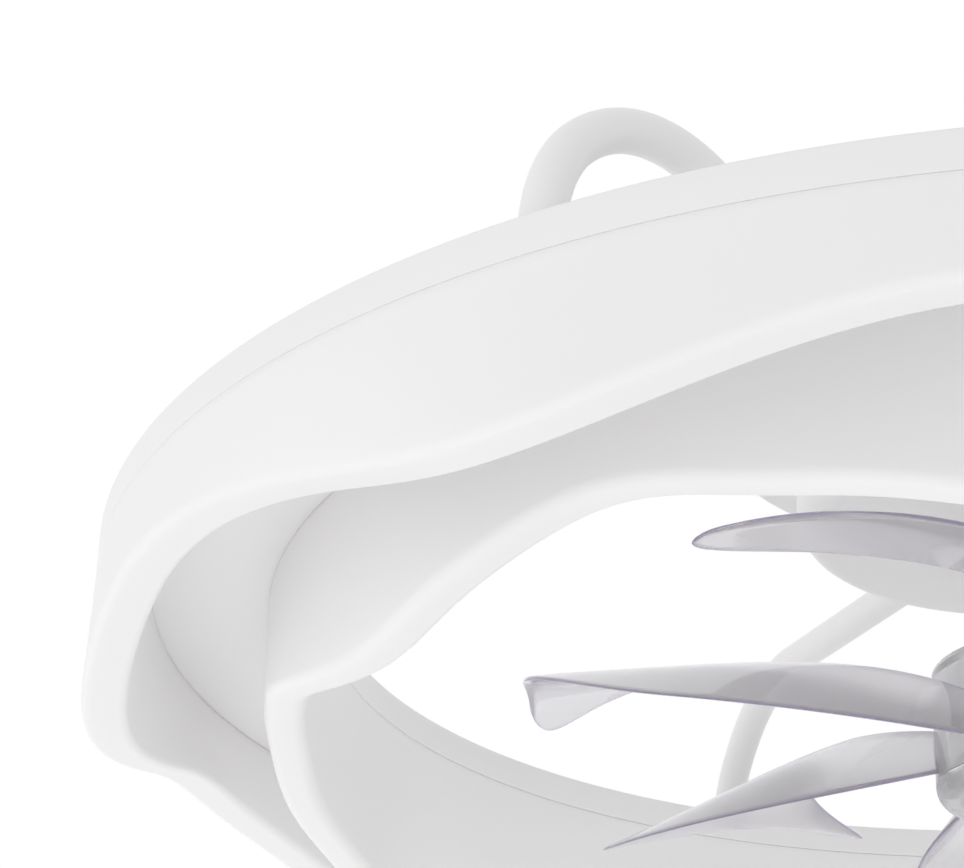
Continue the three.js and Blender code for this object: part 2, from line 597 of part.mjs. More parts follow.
// A point of the blade's middle surface: along runs 0 to 1 from root to tip, across -1 to 1 between edges.
function bladePoint(along, across) {
  const blend = (near, far) => THREE.MathUtils.lerp(near, far, (1 + across) / 2);
  const crown = 1 - across ** 2;
  const root = HUB_RADIUS + BLADE_ROOT_CLEAR;
  const tip = blend(BLADE_NEAR.tipRadius, BLADE_FAR.tipRadius) - BLADE_HOLLOW * crown;
  const azimuth = blend(along3(BLADE_NEAR.azimuth, along), along3(BLADE_FAR.azimuth, along));
  const level = blend(along3(BLADE_NEAR.level, along), along3(BLADE_FAR.level, along));
  return polar(azimuth, root + (tip - root) * along, hubTop + level + BLADE_CAMBER * crown * along);
}

// Where a line of the blade lies between the edges, -1 to 1, with the tip corners rounded.
function bladeAcross(along, side) {
  const into = Math.max(0, along - (1 - BLADE_CORNER)) / BLADE_CORNER;
  const cutOff = 1 - Math.sqrt(Math.max(0, 1 - into ** 2));
  const [near, far] = [BLADE_CORNER_NEAR * cutOff - 1, 1 - BLADE_CORNER_FAR * cutOff];
  return THREE.MathUtils.lerp(near, far, (1 + side) / 2);
}

function bladeGeometry() {
  const half = 0.5;
  const chordSteps = [-1, -0.5, 0, 0.5, 1];
  const section = new THREE.Shape([...chordSteps.map((t) => new THREE.Vector2(t, -half)),
    ...chordSteps.toReversed().map((t) => new THREE.Vector2(t, half))]);
  const options = { depth: 1, steps: BLADE_STEPS, bevelEnabled: false };
  const geometry = new THREE.ExtrudeGeometry(section, options);
  const position = geometry.getAttribute('position');
  const step = 1e-3;
  for (let i = 0; i < position.count; i += 1) {
    const along = 1 - Math.max(0, 1 - position.getZ(i)) ** BLADE_STEP_EASE;
    const across = bladeAcross(along, position.getX(i));
    const here = bladePoint(along, across);
    const alongDirection = bladePoint(along + step, across).sub(here);
    const acrossDirection = bladePoint(along, across + step).sub(here);
    const normal = alongDirection.cross(acrossDirection).normalize();
    const edge = position.getX(i) ** 2;
    const thick = THREE.MathUtils.lerp(BLADE_THICK, BLADE_EDGE, edge);
    here.addScaledVector(normal, position.getY(i) * thick);
    position.setXYZ(i, here.x, here.y, here.z);
  }
  return geometry;
}

// The tongue at a blade's root, which plugs into a slot in the hub wall.
function bladeTongue(clearance) {
  const middle = bladePoint(0, 0);
  const chord = bladePoint(0, 0.5).sub(bladePoint(0, -0.5)).normalize();
  const radial = new THREE.Vector3(middle.x, middle.y, 0).normalize();
  const across = new THREE.Vector3().crossVectors(radial, chord).normalize();
  const flat = new THREE.Vector3().crossVectors(across, radial).normalize();
  const depth = TONGUE_INSIDE + HUB_WALL + BLADE_ROOT_CLEAR + TONGUE_BITE;
  const tongue = new THREE.BoxGeometry(depth + 2 * clearance, TONGUE_LENGTH + 2 * clearance,
    TONGUE_THICK + 2 * clearance);
  const frame = new THREE.Matrix4().makeBasis(radial, flat, across);
  frame.setPosition(middle.clone().addScaledVector(radial, TONGUE_BITE - depth / 2));
  return tongue.applyMatrix4(frame);
}

function buildBlades() {
  const blade = join([bladeGeometry(), bladeTongue(0)]);
  for (let i = 0; i < BLADES; i += 1) {
    const mesh = addPiece(`blade_${i + 1}`, blade.clone(), clearPlastic());
    mesh.rotation.z = (-i * 2 * Math.PI) / BLADES;
  }
}

// ---- Hub, cap and nut ----
function buildHub() {
  const inner = HUB_RADIUS - HUB_WALL;
  const shell = turned([[HUB_RADIUS, hubBottom], [HUB_RADIUS, hubTop - HUB_BEVEL],
    [HUB_RADIUS - HUB_BEVEL, hubTop], [shaftHole, hubTop], [shaftHole, hubBossBottom],
    [HUB_BOSS_RADIUS, hubBossBottom], [HUB_BOSS_RADIUS, hubTop - HUB_WALL], [inner, hubTop - HUB_WALL],
    [inner, hubBottom]], HUB_SIDES);
  const slots = Array.from({ length: BLADES }, (_, i) => bladeTongue(GAP)
    .rotateZ((-i * 2 * Math.PI) / BLADES));
  addPiece('hub', cut(shell, slots), clearPlastic());
}

function buildHubCap() {
  const top = hubBottom - GAP;
  const bottom = top - CAP_DROP;
  const spigot = HUB_RADIUS - HUB_WALL - GAP;
  addPiece('hub_cap', turned([[0, bottom], ...lowerCorner(HUB_RADIUS, bottom, CAP_ROUND), [HUB_RADIUS, top],
    [spigot, top], [spigot, top + CAP_SPIGOT], [spigot - CAP_WALL, top + CAP_SPIGOT],
    [spigot - CAP_WALL, bottom + CAP_WALL], [0, bottom + CAP_WALL]], HUB_SIDES), clearPlastic());
}

function buildHubNut() {
  const low = hubBossBottom - GAP - HUB_NUT_HEIGHT;
  addPiece('hub_nut', hexNut(HUB_NUT_WIDTH, shaftHole, low, HUB_NUT_HEIGHT), zincSteel());
}

// ---- Tube arms with their nuts ----
class ArmPath extends THREE.Curve {
  constructor() {
    super();
    this.line = armLine();
  }

  getPoint(t, target = new THREE.Vector3()) {
    const { x, y } = this.line.getPoint(t);
    return target.set(x, y, 0);
  }
}

function buildArms() {
  const wall = new THREE.Shape(circlePoints(ARM_RADIUS, ARM_SIDES));
  wall.holes.push(new THREE.Path(circlePoints(ARM_BORE, ARM_BORE_SIDES)));
  const tube = new THREE.ExtrudeGeometry(wall, {
    steps: ARM_STEPS, extrudePath: new ArmPath(), bevelEnabled: false,
  });
  const innerNut = hexNut(ARM_NUT_WIDTH, ARM_RADIUS + GAP, 0, ARM_NUT_HEIGHT);
  const nutCorner = ARM_NUT_WIDTH / Math.sqrt(3);
  const nutRadius = Math.sqrt(cupInner ** 2 - nutCorner ** 2) - 2 * GAP;
  ARM_AZIMUTHS.forEach((azimuth, i) => {
    // In this group x is the radius, y the level and z the way across, and it stands at the arm's azimuth.
    const upright = new THREE.Group();
    const radial = outward(azimuth);
    upright.matrixAutoUpdate = false;
    upright.matrix.makeBasis(radial, new THREE.Vector3(0, 0, 1),
      new THREE.Vector3().crossVectors(radial, new THREE.Vector3(0, 0, 1)));
    fan.add(upright);
    addPiece(`tube_arm_${i + 1}`, tube.clone(), whitePaint(), upright);
    const cupNut = addPiece(`arm_cup_nut_${i + 1}`, innerNut.clone(), zincSteel(), upright);
    cupNut.rotation.set(0, -Math.PI / 2, armClimb(), 'ZYX');
    cupNut.position.set(nutRadius, armLevel(nutRadius), 0);
    const ringNut = addPiece(`arm_ring_nut_${i + 1}`, innerNut.clone(), zincSteel());
    ringNut.position.copy(polar(azimuth, armLeg, ringTop - RING_SHEET - GAP - ARM_NUT_HEIGHT));
    ringNut.rotation.z = -radians(azimuth);
  });
}

// ---- Ring lamp: sheet chassis, base plate, light boards and the two strands ----
function buildRing() {
  const [outer, inner] = [RING_RADIUS - RING_SHEET, ringInner + RING_SHEET];
  const channel = turned([[RING_RADIUS, ringBottom], [RING_RADIUS, ringTop], [ringInner, ringTop],
    [ringInner, ringBottom], [inner, ringBottom], [inner, ringTop - RING_SHEET],
    [outer, ringTop - RING_SHEET], [outer, ringBottom]], ringSides);
  const under = ringTop - RING_SHEET - 1;
  const armHoles = ARM_AZIMUTHS.map((azimuth) => drill(azimuth, armLeg, ARM_RADIUS + GAP,
    under, ringTop + 1, SMALL));
  const screwHoles = RING_SCREW_AZIMUTHS.map((azimuth) => drill(azimuth, ringScrewCircle,
    RING_SHANK_RADIUS + GAP, under, ringTop + 1));
  addPiece('ring_chassis', cut(channel, [...armHoles, ...screwHoles]), whitePaint());

  const [plateInner, plateOuter] = [inner + BASE_PLATE_INSET, outer - BASE_PLATE_INSET];
  const sheet = annulus(plateInner, plateOuter, ringBottom, basePlateTop, ringSides);
  const plateHoles = RING_SCREW_AZIMUTHS.map((azimuth) => drill(azimuth, ringScrewCircle,
    RING_SHANK_RADIUS + GAP, ringBottom - 1, basePlateTop + 1));
  addPiece('ring_base_plate', cut(sheet, plateHoles), whitePaint());
}

function buildRingScrews() {
  const spacerHigh = ringTop - RING_SHEET - GAP;
  const spacerLow = basePlateTop + GAP;
  RING_SCREW_AZIMUTHS.forEach((azimuth, i) => {
    const place = polar(azimuth, ringScrewCircle, 0);
    const spacer = addPiece(`ring_spacer_${i + 1}`,
      annulus(RING_SHANK_RADIUS + GAP, SPACER_RADIUS, spacerLow, spacerHigh, TINY), zincSteel());
    spacer.position.copy(place);
    const under = ringTop + GAP;
    const pan = panScrew(RING_SHANK_RADIUS, RING_HEAD_RADIUS, RING_HEAD_HEIGHT, under, under - ringBottom);
    addPiece(`ring_screw_${i + 1}`, pan, zincSteel()).position.copy(place);
  });
}

// A mean with swings that repeat round the ring, at an azimuth.
function wave({ mean, swings, crests }, azimuth) {
  return swings.reduce((sum, swing, i) => sum
    + swing * Math.cos((i + 1) * WAVES * radians(azimuth - crests[i])), mean);
}

// How far a wall has moved from its top edge to its crease, at a share of its height.
const wallEase = (share) => share ** WALL_POWER;

// One strand: a channel with a narrow floor whose radius and depth swing round the ring.
function strandGeometry({ top, lipSide, width, radius, depth }) {
  const face = [0, 0.4, 0.75, 1];
  const cavity = [0, 0.55, 1];
  // Each section point: the wall it belongs to (1 outer, -1 inner), its share of the height, and its side
  // of the wall (0 the visible face, 1 the cavity face), or a point of the lip at the top.
  const onWall = (wall, inside) => (share) => ({ wall, share, inside });
  const section = [
    ...face.toReversed().map(onWall(1, 0)),
    ...(lipSide > 0 ? lipPoints(1) : []),
    ...cavity.slice(lipSide > 0 ? 1 : 0).map(onWall(1, 1)),
    ...cavity.slice(lipSide < 0 ? 1 : 0).toReversed().map(onWall(-1, 1)),
    ...(lipSide < 0 ? lipPoints(-1).toReversed() : []),
    ...face.map(onWall(-1, 0)),
  ];
  const profile = section.map((_, i) => [1 + i, i]);
  const geometry = turned(profile, ringSides);
  const position = geometry.getAttribute('position');
  for (let i = 0; i < position.count; i += 1) {
    const point = section[Math.round(position.getZ(i))];
    const azimuth = THREE.MathUtils.radToDeg(Math.atan2(-position.getX(i), -position.getY(i)));
    const crease = wave(radius, azimuth) - (point.wall > 0 ? 0 : width);
    const rim = top[point.wall > 0 ? 0 : 1];
    const floor = ringTop - wave(depth, azimuth);
    const thick = point.inside * STRAND_WALL;
    let place = THREE.MathUtils.lerp(rim, crease, wallEase(point.share)) - point.wall * thick;
    let level = THREE.MathUtils.lerp(strandTop, floor + thick, point.share);
    if (point.lip) {
      place = rim - point.wall * point.lip.inset;
      level = strandTop + point.lip.rise;
    }
    const spot = polar(azimuth, place, level);
    position.setXYZ(i, spot.x, spot.y, spot.z);
  }
  return geometry;
}

// The lip that stands up from the top edge of a wall, inside the sheet of the chassis.
function lipPoints(wall) {
  const near = RING_SHEET + GAP;
  const far = near + STRAND_LIP_THICK;
  return [{ inset: near, rise: 0 }, { inset: near, rise: STRAND_LIP }, { inset: far, rise: STRAND_LIP }]
    .map((lip) => ({ wall, share: 0, inside: 0, lip }));
}

function buildLamp() {
  for (const [name, strand] of Object.entries(STRANDS)) {
    addPiece(name, strandGeometry(strand), milkAcrylic());
  }
  const boardHigh = ringBottom - GAP;
  const lipClear = RING_SHEET + GAP + STRAND_LIP_THICK + BOARD_CLEAR;
  const wallClear = STRAND_WALL + BOARD_CLEAR;
  const [outer, inner] = [STRANDS.diffuser_outer.top, STRANDS.diffuser_inner.top];
  addPiece('led_board_outer', annulus(outer[1] + wallClear, outer[0] - lipClear, boardHigh - BOARD_THICK,
    boardHigh, MEDIUM), boardWhite());
  addPiece('led_board_inner', annulus(inner[1] + lipClear, inner[0] - wallClear, boardHigh - BOARD_THICK,
    boardHigh, MEDIUM), boardWhite());
}

buildBracket();
buildTier();
buildCanopyScrews();
buildCup();
buildCupScrews();
buildElectrics();
buildStem();
buildMotorBase();
buildMotorScrews();
buildStator();
buildBearings();
buildBell();
buildShaft();
buildHub();
buildHubCap();
buildHubNut();
buildBlades();
buildArms();
buildRing();
buildRingScrews();
buildLamp();

export default fan;
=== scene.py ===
"""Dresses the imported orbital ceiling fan: two smooth wavy light strands under a painted ring, bent tube arms,
a stepped canopy, and a clear hub with swept blades.

Lengths are in millimetres and become metres in the meshes. An azimuth runs from the near side to the left."""

import math

import bmesh
import bpy
import numpy as np
from mathutils import Matrix, Vector


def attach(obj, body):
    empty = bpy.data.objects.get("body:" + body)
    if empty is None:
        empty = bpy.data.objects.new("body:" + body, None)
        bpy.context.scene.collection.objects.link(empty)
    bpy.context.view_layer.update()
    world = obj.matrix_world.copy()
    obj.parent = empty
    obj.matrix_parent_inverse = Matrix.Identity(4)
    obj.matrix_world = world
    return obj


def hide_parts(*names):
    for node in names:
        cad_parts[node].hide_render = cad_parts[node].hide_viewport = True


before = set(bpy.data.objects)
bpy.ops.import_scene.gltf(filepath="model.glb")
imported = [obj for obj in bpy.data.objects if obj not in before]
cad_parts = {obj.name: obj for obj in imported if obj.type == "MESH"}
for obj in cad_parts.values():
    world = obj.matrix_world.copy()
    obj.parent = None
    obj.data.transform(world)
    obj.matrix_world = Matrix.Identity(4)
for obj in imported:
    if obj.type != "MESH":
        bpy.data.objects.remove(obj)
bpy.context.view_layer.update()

MM = 0.001
# Points nearer than the first, in metres, are one point; a profile point nearer than the second, in
# millimetres, lies on the axis
SAME_POINT = 1e-7
ON_AXIS = 1e-6
SHARP_DEGREES = 35.0
CORNER_STEP_DEGREES = 15
LEAST_CORNER_STEPS = 3

# ---- Sizes, the same as the solids have ----
GAP = 0.3
# Two more for the scene alone: what is left of a gap at a seam that looks closed, and how far the end of
# a screw or a round stops short of a face
SEAM = 0.05
FACE_CLEAR = 0.1

TIER_RADIUS = 86.0
TIER_HEIGHT = 24.0
TIER_WALL = 1.2
TIER_HOLE = 20.0
CUP_RADIUS = 64.0
CUP_HEIGHT = 31.8
CUP_WALL = 1.5
CUP_FLOOR = 2.0
CUP_CORNER = 8.0
CUP_LIP_WIDTH = 12.0
STEM_RADIUS = 14.0
STEM_DROP = 35.4
STEM_BORE = 11.3
STEM_FLANGE = 40.0
STEM_FLANGE_THICK = 2.0
CUP_SCREW_CIRCLE = 56.0
MOTOR_SCREW_CIRCLE = 32.0
RING_SCREW_CIRCLE = 220.0
SCREW_AZIMUTH = 90.0
NUMBERS_OF_THREE = (1, 2, 3)
CUP_SCREW_REACH = 2.0
MOTOR_BASE_THICK = 2.0
BRACKET_TAB_THICK = 2.2
CANOPY_SCREW_DROP = 10.0
CANOPY_SCREW_REACH = 4.0
# Radius of the shank, radius of the head and height of the head
SMALL_SCREW = (1.8, 3.6, 2.2)
RING_SCREW = (2.0, 4.0, 2.4)

HUB_DROP = 37.9
HUB_RADIUS = 29.5
HUB_HEIGHT = 32.0
HUB_WALL = 3.0
HUB_BOSS_RADIUS = 9.0
HUB_BOSS_HEIGHT = 15.0
SHAFT_HOLE = 4.3
CAP_DROP = 5.0
CAP_ROUND = 5.0
CAP_WALL = 2.5
CAP_SPIGOT = 4.0

BLADES = 6
BLADE_NEAR = {"azimuth": (15.5, 55.7, -5.3), "level": (-30.5, -30.2, -26.2), "tip": 155.2}
BLADE_FAR = {"azimuth": (35.1, 104.0, 2.2), "level": (-15.4, -9.8, 18.1), "tip": 149.1}
BLADE_HOLLOW = 15.0
BLADE_CAMBER = 11.5
BLADE_CORNER = 0.24
BLADE_CORNER_NEAR = 0.95
BLADE_CORNER_FAR = 0.67
BLADE_ROOT_CLEAR = 1.2
BLADE_THICK = 2.2
BLADE_EDGE = 1.0
BLADE_ROOT_REACH = 0.013
BLADE_TIP_TAPER = 0.02
BLADE_EDGE_TAPER = 0.25
# How far in from a blade's outline the painted edge light reaches
BLADE_RIM_WIDTH = 1.6

RING_DROP = 80.0
RING_RADIUS = 250.0
RING_INNER = 190.0
RING_HEIGHT = 9.3
RING_SHEET = 1.2
BASE_PLATE_INSET = 2.4
STRAND_WALL = 2.0
STRAND_LIP = 1.3
STRAND_LIP_THICK = 1.8
WAVES = 7
WALL_POWER = 1.5
CREASE_SOFTNESS = 3.0
LIP_SOFTNESS = 0.4
# Radius and depth of a crease: the mean, the swings that come once, twice and three times in a wave, and the
# azimuths of their crests
SWINGS = 3
STRAND_OUTER = {
    "rims": (RING_RADIUS, RING_RADIUS - 14.0), "lip_side": 1, "width": 11.3,
    "radius": (247.9, (3.6, 1.2, 0), (11.8, -2.4, 0)),
    "depth": (37.8, (-7.6, -0.7, 0), (-2.2, 11.9, 0)),
}
STRAND_INNER = {
    "rims": (RING_INNER + 15.5, RING_INNER), "lip_side": -1, "width": 10.1,
    "radius": (205.6, (1.7, 1.65, 0.6), (10.2, 7.3, 5.6)),
    "depth": (47.9, (-7.5, -0.3, -0.35), (25, 0.5, 8.4)),
}

ARM_AZIMUTHS = (23.0, 152.0, 268.0)
ARM_RADIUS = 5.0
ARM_LEG = 238.5
ARM_ENTRY_DROP = 15.7
ARM_BEND_CUP = 67.8
ARM_BEND_LEG = 42.0
ARM_BEND_JOIN = 45.0
ARM_INSIDE = 9.0
ARM_BELOW = 5.5

tier_floor = -TIER_HEIGHT + TIER_WALL
cup_top = -TIER_HEIGHT - GAP
cup_bottom = cup_top - CUP_HEIGHT
cup_floor = cup_bottom + CUP_FLOOR
cup_inner = CUP_RADIUS - CUP_WALL
hub_top = cup_bottom - HUB_DROP
hub_bottom = hub_top - HUB_HEIGHT
hub_seam = hub_bottom - GAP + SEAM
ring_top = -RING_DROP
ring_bottom = ring_top - RING_HEIGHT
strand_top = ring_bottom - SEAM


# ---- Mesh helpers ----
def add_object(name, mesh):
    piece = bpy.data.objects.new(name, mesh)
    bpy.context.scene.collection.objects.link(piece)
    return piece


def shade(piece, sharp_degrees):
    """Shades a piece smooth between its sharp edges."""
    piece.data.shade_smooth()
    piece.data.set_sharp_from_angle(angle=math.radians(sharp_degrees))
    return piece


def new_mesh(name, points, edges, faces):
    """A mesh from points in millimetres."""
    mesh = bpy.data.meshes.new(name)
    mesh.from_pydata([Vector(point) * MM for point in points], edges, faces)
    return mesh


def mesh_piece(name, points, faces, sharp_degrees=SHARP_DEGREES):
    """A piece from points in millimetres, with its doubles merged and its faces turned outwards."""
    mesh = new_mesh(name, points, [], faces)
    work = bmesh.new()
    work.from_mesh(mesh)
    bmesh.ops.remove_doubles(work, verts=work.verts, dist=SAME_POINT)
    bmesh.ops.recalc_face_normals(work, faces=work.faces)
    work.to_mesh(mesh)
    work.free()
    return shade(add_object(name, mesh), sharp_degrees)


def plain_mesh(piece):
    """Turns a piece with modifiers into a plain mesh."""
    bpy.context.view_layer.update()
    graph = bpy.context.evaluated_depsgraph_get()
    old = piece.data
    made = bpy.data.meshes.new_from_object(piece.evaluated_get(graph))
    piece.modifiers.clear()
    piece.data = made
    if old.users == 0:
        bpy.data.meshes.remove(old)
    made.name = piece.name
    return piece


def rounded(profile):
    """Rounds the corners of a closed profile of [radius, level, corner radius] points."""
    result = []
    for i, (radius, level, corner) in enumerate(profile):
        here = Vector((radius, level))
        if not corner:
            result.append(here)
            continue
        before = (Vector(profile[i - 1][:2]) - here).normalized()
        after = (Vector(profile[(i + 1) % len(profile)][:2]) - here).normalized()
        half = before.angle(after) / 2
        reach = corner / math.tan(half)
        centre = here + (before + after).normalized() * (corner / math.sin(half))
        start = here + before * reach - centre
        end = here + after * reach - centre
        turn = start.angle_signed(end)
        steps = max(LEAST_CORNER_STEPS, round(abs(math.degrees(turn)) / CORNER_STEP_DEGREES))
        for k in range(steps + 1):
            angle = -turn * k / steps
            c, s = math.cos(angle), math.sin(angle)
            result.append(centre + Vector((start.x * c - start.y * s, start.x * s + start.y * c)))
    return [(point.x, point.y) for point in result]


def turned(name, profile, sides=192):
    """A body of revolution about Z from a closed profile of [radius, level, corner radius] points."""
    outline = rounded(profile)
    count = len(outline)
    points, faces = [], []
    for side in range(sides):
        angle = 2 * math.pi * side / sides
        points += [(r * math.cos(angle), r * math.sin(angle), z) for r, z in outline]
    for side in range(sides):
        a, b = side * count, ((side + 1) % sides) * count
        for i in range(count):
            j = (i + 1) % count
            if outline[i][0] < ON_AXIS and outline[j][0] < ON_AXIS:
                continue
            faces.append([a + i, b + i, b + j, a + j])
    return mesh_piece(name, points, faces)


# ---- Node helpers ----
def add_node(tree, kind, at=(0, 0), **values):
    node = tree.nodes.new(kind)
    node.location = at
    for key, value in values.items():
        setattr(node, key, value)
    return node


class Formula:
    """Builds math nodes in a tree from plain calls."""

    def __init__(self, tree):
        self.tree = tree

    def math(self, operation, *values):
        node = self.tree.nodes.new("ShaderNodeMath")
        node.operation = operation
        for socket, value in zip(node.inputs, values):
            self.feed(socket, value)
        return node.outputs[0]

    def feed(self, socket, value):
        if isinstance(value, (int, float)):
            socket.default_value = value
        else:
            self.tree.links.new(value, socket)

    def add(self, a, b):
        return self.math("ADD", a, b)

    def sub(self, a, b):
        return self.math("SUBTRACT", a, b)

    def mul(self, a, b):
        return self.math("MULTIPLY", a, b)

    def mix(self, a, b, share):
        return self.add(a, self.mul(self.sub(b, a), share))


def new_group(name, kind, inputs, outputs):
    """A node tree with named inputs and outputs."""
    tree = bpy.data.node_groups.new(name, kind)
    for label, socket_type, default in inputs:
        socket = tree.interface.new_socket(name=label, in_out="INPUT", socket_type=socket_type)
        if default is not None:
            socket.default_value = default
    for label, socket_type in outputs:
        tree.interface.new_socket(name=label, in_out="OUTPUT", socket_type=socket_type)
    return tree


def end_shape_tree(tree, given, geometry):
    """Ends a geometry tree: its copies become real and get the finish."""
    real = add_node(tree, "GeometryNodeRealizeInstances", (700, 0))
    paint = add_node(tree, "GeometryNodeSetMaterial", (900, 0))
    out = add_node(tree, "NodeGroupOutput", (1100, 0))
    tree.links.new(geometry, real.inputs["Geometry"])
    tree.links.new(real.outputs["Geometry"], paint.inputs["Geometry"])
    tree.links.new(given.outputs["Finish"], paint.inputs["Material"])
    tree.links.new(paint.outputs["Geometry"], out.inputs["Geometry"])


def copies_around(tree, formula, geometry, count, azimuth):
    """Sets a count of copies of a shape on the Z axis, each turned to its azimuth."""
    points = add_node(tree, "GeometryNodePoints", (0, 200))
    formula.feed(points.inputs["Count"], count)
    turn = add_node(tree, "ShaderNodeCombineXYZ", (200, -200))
    formula.feed(turn.inputs["Z"], formula.mul(azimuth, -1.0))
    copies = add_node(tree, "GeometryNodeInstanceOnPoints", (500, 0))
    tree.links.new(points.outputs[0], copies.inputs["Points"])
    tree.links.new(geometry, copies.inputs["Instance"])
    tree.links.new(turn.outputs["Vector"], copies.inputs["Rotation"])
    return copies.outputs["Instances"]


def run_tree(piece, tree, values):
    """Adds a geometry tree to a piece with values for its named inputs, and makes the result a plain mesh."""
    modifier = piece.modifiers.new(tree.name, "NODES")
    modifier.node_group = tree
    names = {item.name: item.identifier for item in tree.interface.items_tree
             if item.item_type == "SOCKET" and item.in_out == "INPUT"}
    for label, value in values.items():
        modifier[names[label]] = value
    return plain_mesh(piece)


# ---- Surface effects that several finishes use ----
SURFACE_OUTPUTS = [("Colour", "NodeSocketColor"), ("Roughness", "NodeSocketFloat"),
                   ("Height", "NodeSocketFloat")]
# Dust lies where the upward part of the normal is above this
DUST_SLOPE = 0.6
DUST_COLOUR = (0.55, 0.53, 0.50, 1)
STREAK_SQUEEZE = 0.05


def greyed(tree, colour, value):
    """The colour times a grey value."""
    grey = add_node(tree, "ShaderNodeCombineColor", (100, 100))
    for channel in ("Red", "Green", "Blue"):
        tree.links.new(value, grey.inputs[channel])
    tint = add_node(tree, "ShaderNodeMix", (300, 150), data_type="RGBA", blend_type="MULTIPLY")
    tint.inputs["Factor"].default_value = 1
    tree.links.new(colour, tint.inputs["A"])
    tree.links.new(grey.outputs["Color"], tint.inputs["B"])
    return tint.outputs["Result"]


def fine_grain_group():
    """Soft change of colour and roughness with a fine bump height, in the object's own space."""
    tree = new_group("Fine grain", "ShaderNodeTree",
                     [("Colour", "NodeSocketColor", (0.9, 0.9, 0.9, 1)), ("Shade", "NodeSocketFloat", 0.02),
                      ("Roughness", "NodeSocketFloat", 0.4), ("Roughness change", "NodeSocketFloat", 0.05),
                      ("Cloud size", "NodeSocketFloat", 12.0), ("Grain size", "NodeSocketFloat", 900.0)],
                     SURFACE_OUTPUTS)
    given = add_node(tree, "NodeGroupInput", (-900, 0))
    out = add_node(tree, "NodeGroupOutput", (700, 0))
    place = add_node(tree, "ShaderNodeTexCoord", (-900, -300))
    cloud = add_node(tree, "ShaderNodeTexNoise", (-600, 100))
    cloud.inputs["Detail"].default_value = 3
    grain = add_node(tree, "ShaderNodeTexNoise", (-600, -300))
    grain.inputs["Detail"].default_value = 2
    links = tree.links
    for noise, size in ((cloud, "Cloud size"), (grain, "Grain size")):
        links.new(place.outputs["Object"], noise.inputs["Vector"])
        links.new(given.outputs[size], noise.inputs["Scale"])
    f = Formula(tree)
    around = f.mul(f.sub(cloud.outputs["Fac"], 0.5), 2.0)
    light = f.add(1.0, f.mul(around, given.outputs["Shade"]))
    links.new(greyed(tree, given.outputs["Colour"], light), out.inputs["Colour"])
    rough = f.add(given.outputs["Roughness"], f.mul(around, given.outputs["Roughness change"]))
    links.new(rough, out.inputs["Roughness"])
    links.new(grain.outputs["Fac"], out.inputs["Height"])
    return tree


def dust_group():
    """A mask of thin dust that lies on faces that look up."""
    tree = new_group("Settled dust", "ShaderNodeTree",
                     [("Colour", "NodeSocketColor", (0.9, 0.9, 0.9, 1)), ("Amount", "NodeSocketFloat", 0.1)],
                     [("Colour", "NodeSocketColor")])
    given = add_node(tree, "NodeGroupInput", (-700, 0))
    out = add_node(tree, "NodeGroupOutput", (600, 0))
    shape = add_node(tree, "ShaderNodeNewGeometry", (-700, -200))
    split = add_node(tree, "ShaderNodeSeparateXYZ", (-500, -200))
    place = add_node(tree, "ShaderNodeTexCoord", (-700, -450))
    noise = add_node(tree, "ShaderNodeTexNoise", (-500, -450))
    noise.inputs["Scale"].default_value = 60
    noise.inputs["Detail"].default_value = 5
    links = tree.links
    links.new(shape.outputs["Normal"], split.inputs["Vector"])
    links.new(place.outputs["Object"], noise.inputs["Vector"])
    f = Formula(tree)
    upward = f.math("MAXIMUM", f.sub(split.outputs["Z"], DUST_SLOPE), 0.0)
    upward = f.mul(upward, 1 / (1 - DUST_SLOPE))
    mask = f.mul(upward, f.mul(noise.outputs["Fac"], given.outputs["Amount"]))
    mix = add_node(tree, "ShaderNodeMix", (300, 0), data_type="RGBA")
    links.new(mask, mix.inputs["Factor"])
    links.new(given.outputs["Colour"], mix.inputs["A"])
    mix.inputs["B"].default_value = DUST_COLOUR
    links.new(mix.outputs["Result"], out.inputs["Colour"])
    return tree


def brushed_group():
    """Fine streaks along Z for drawn and plated metal."""
    tree = new_group("Drawn streaks", "ShaderNodeTree",
                     [("Colour", "NodeSocketColor", (0.7, 0.7, 0.7, 1)), ("Strength", "NodeSocketFloat", 0.1),
                      ("Roughness", "NodeSocketFloat", 0.3), ("Streak size", "NodeSocketFloat", 400.0)],
                     SURFACE_OUTPUTS)
    given = add_node(tree, "NodeGroupInput", (-800, 0))
    out = add_node(tree, "NodeGroupOutput", (600, 0))
    place = add_node(tree, "ShaderNodeTexCoord", (-800, -300))
    stretch = add_node(tree, "ShaderNodeMapping", (-600, -300))
    stretch.inputs["Scale"].default_value = (1, 1, STREAK_SQUEEZE)
    noise = add_node(tree, "ShaderNodeTexNoise", (-400, -300))
    noise.inputs["Detail"].default_value = 4
    links = tree.links
    links.new(place.outputs["Object"], stretch.inputs["Vector"])
    links.new(stretch.outputs["Vector"], noise.inputs["Vector"])
    links.new(given.outputs["Streak size"], noise.inputs["Scale"])
    f = Formula(tree)
    around = f.mul(f.sub(noise.outputs["Fac"], 0.5), given.outputs["Strength"])
    links.new(greyed(tree, given.outputs["Colour"], f.add(1.0, around)), out.inputs["Colour"])
    links.new(f.add(given.outputs["Roughness"], around), out.inputs["Roughness"])
    links.new(noise.outputs["Fac"], out.inputs["Height"])
    return tree


fine_grain = fine_grain_group()
settled_dust = dust_group()
drawn_streaks = brushed_group()


# ---- Finishes ----
GRAIN_LABELS = ("Shade", "Roughness", "Roughness change", "Cloud size", "Grain size")
STREAK_LABELS = ("Strength", "Roughness", "Streak size")
RELIEF_DEPTH = 0.0002


def use_group(tree, group, at, values):
    node = add_node(tree, "ShaderNodeGroup", at)
    node.node_tree = group
    for label, value in values.items():
        node.inputs[label].default_value = value
    return node


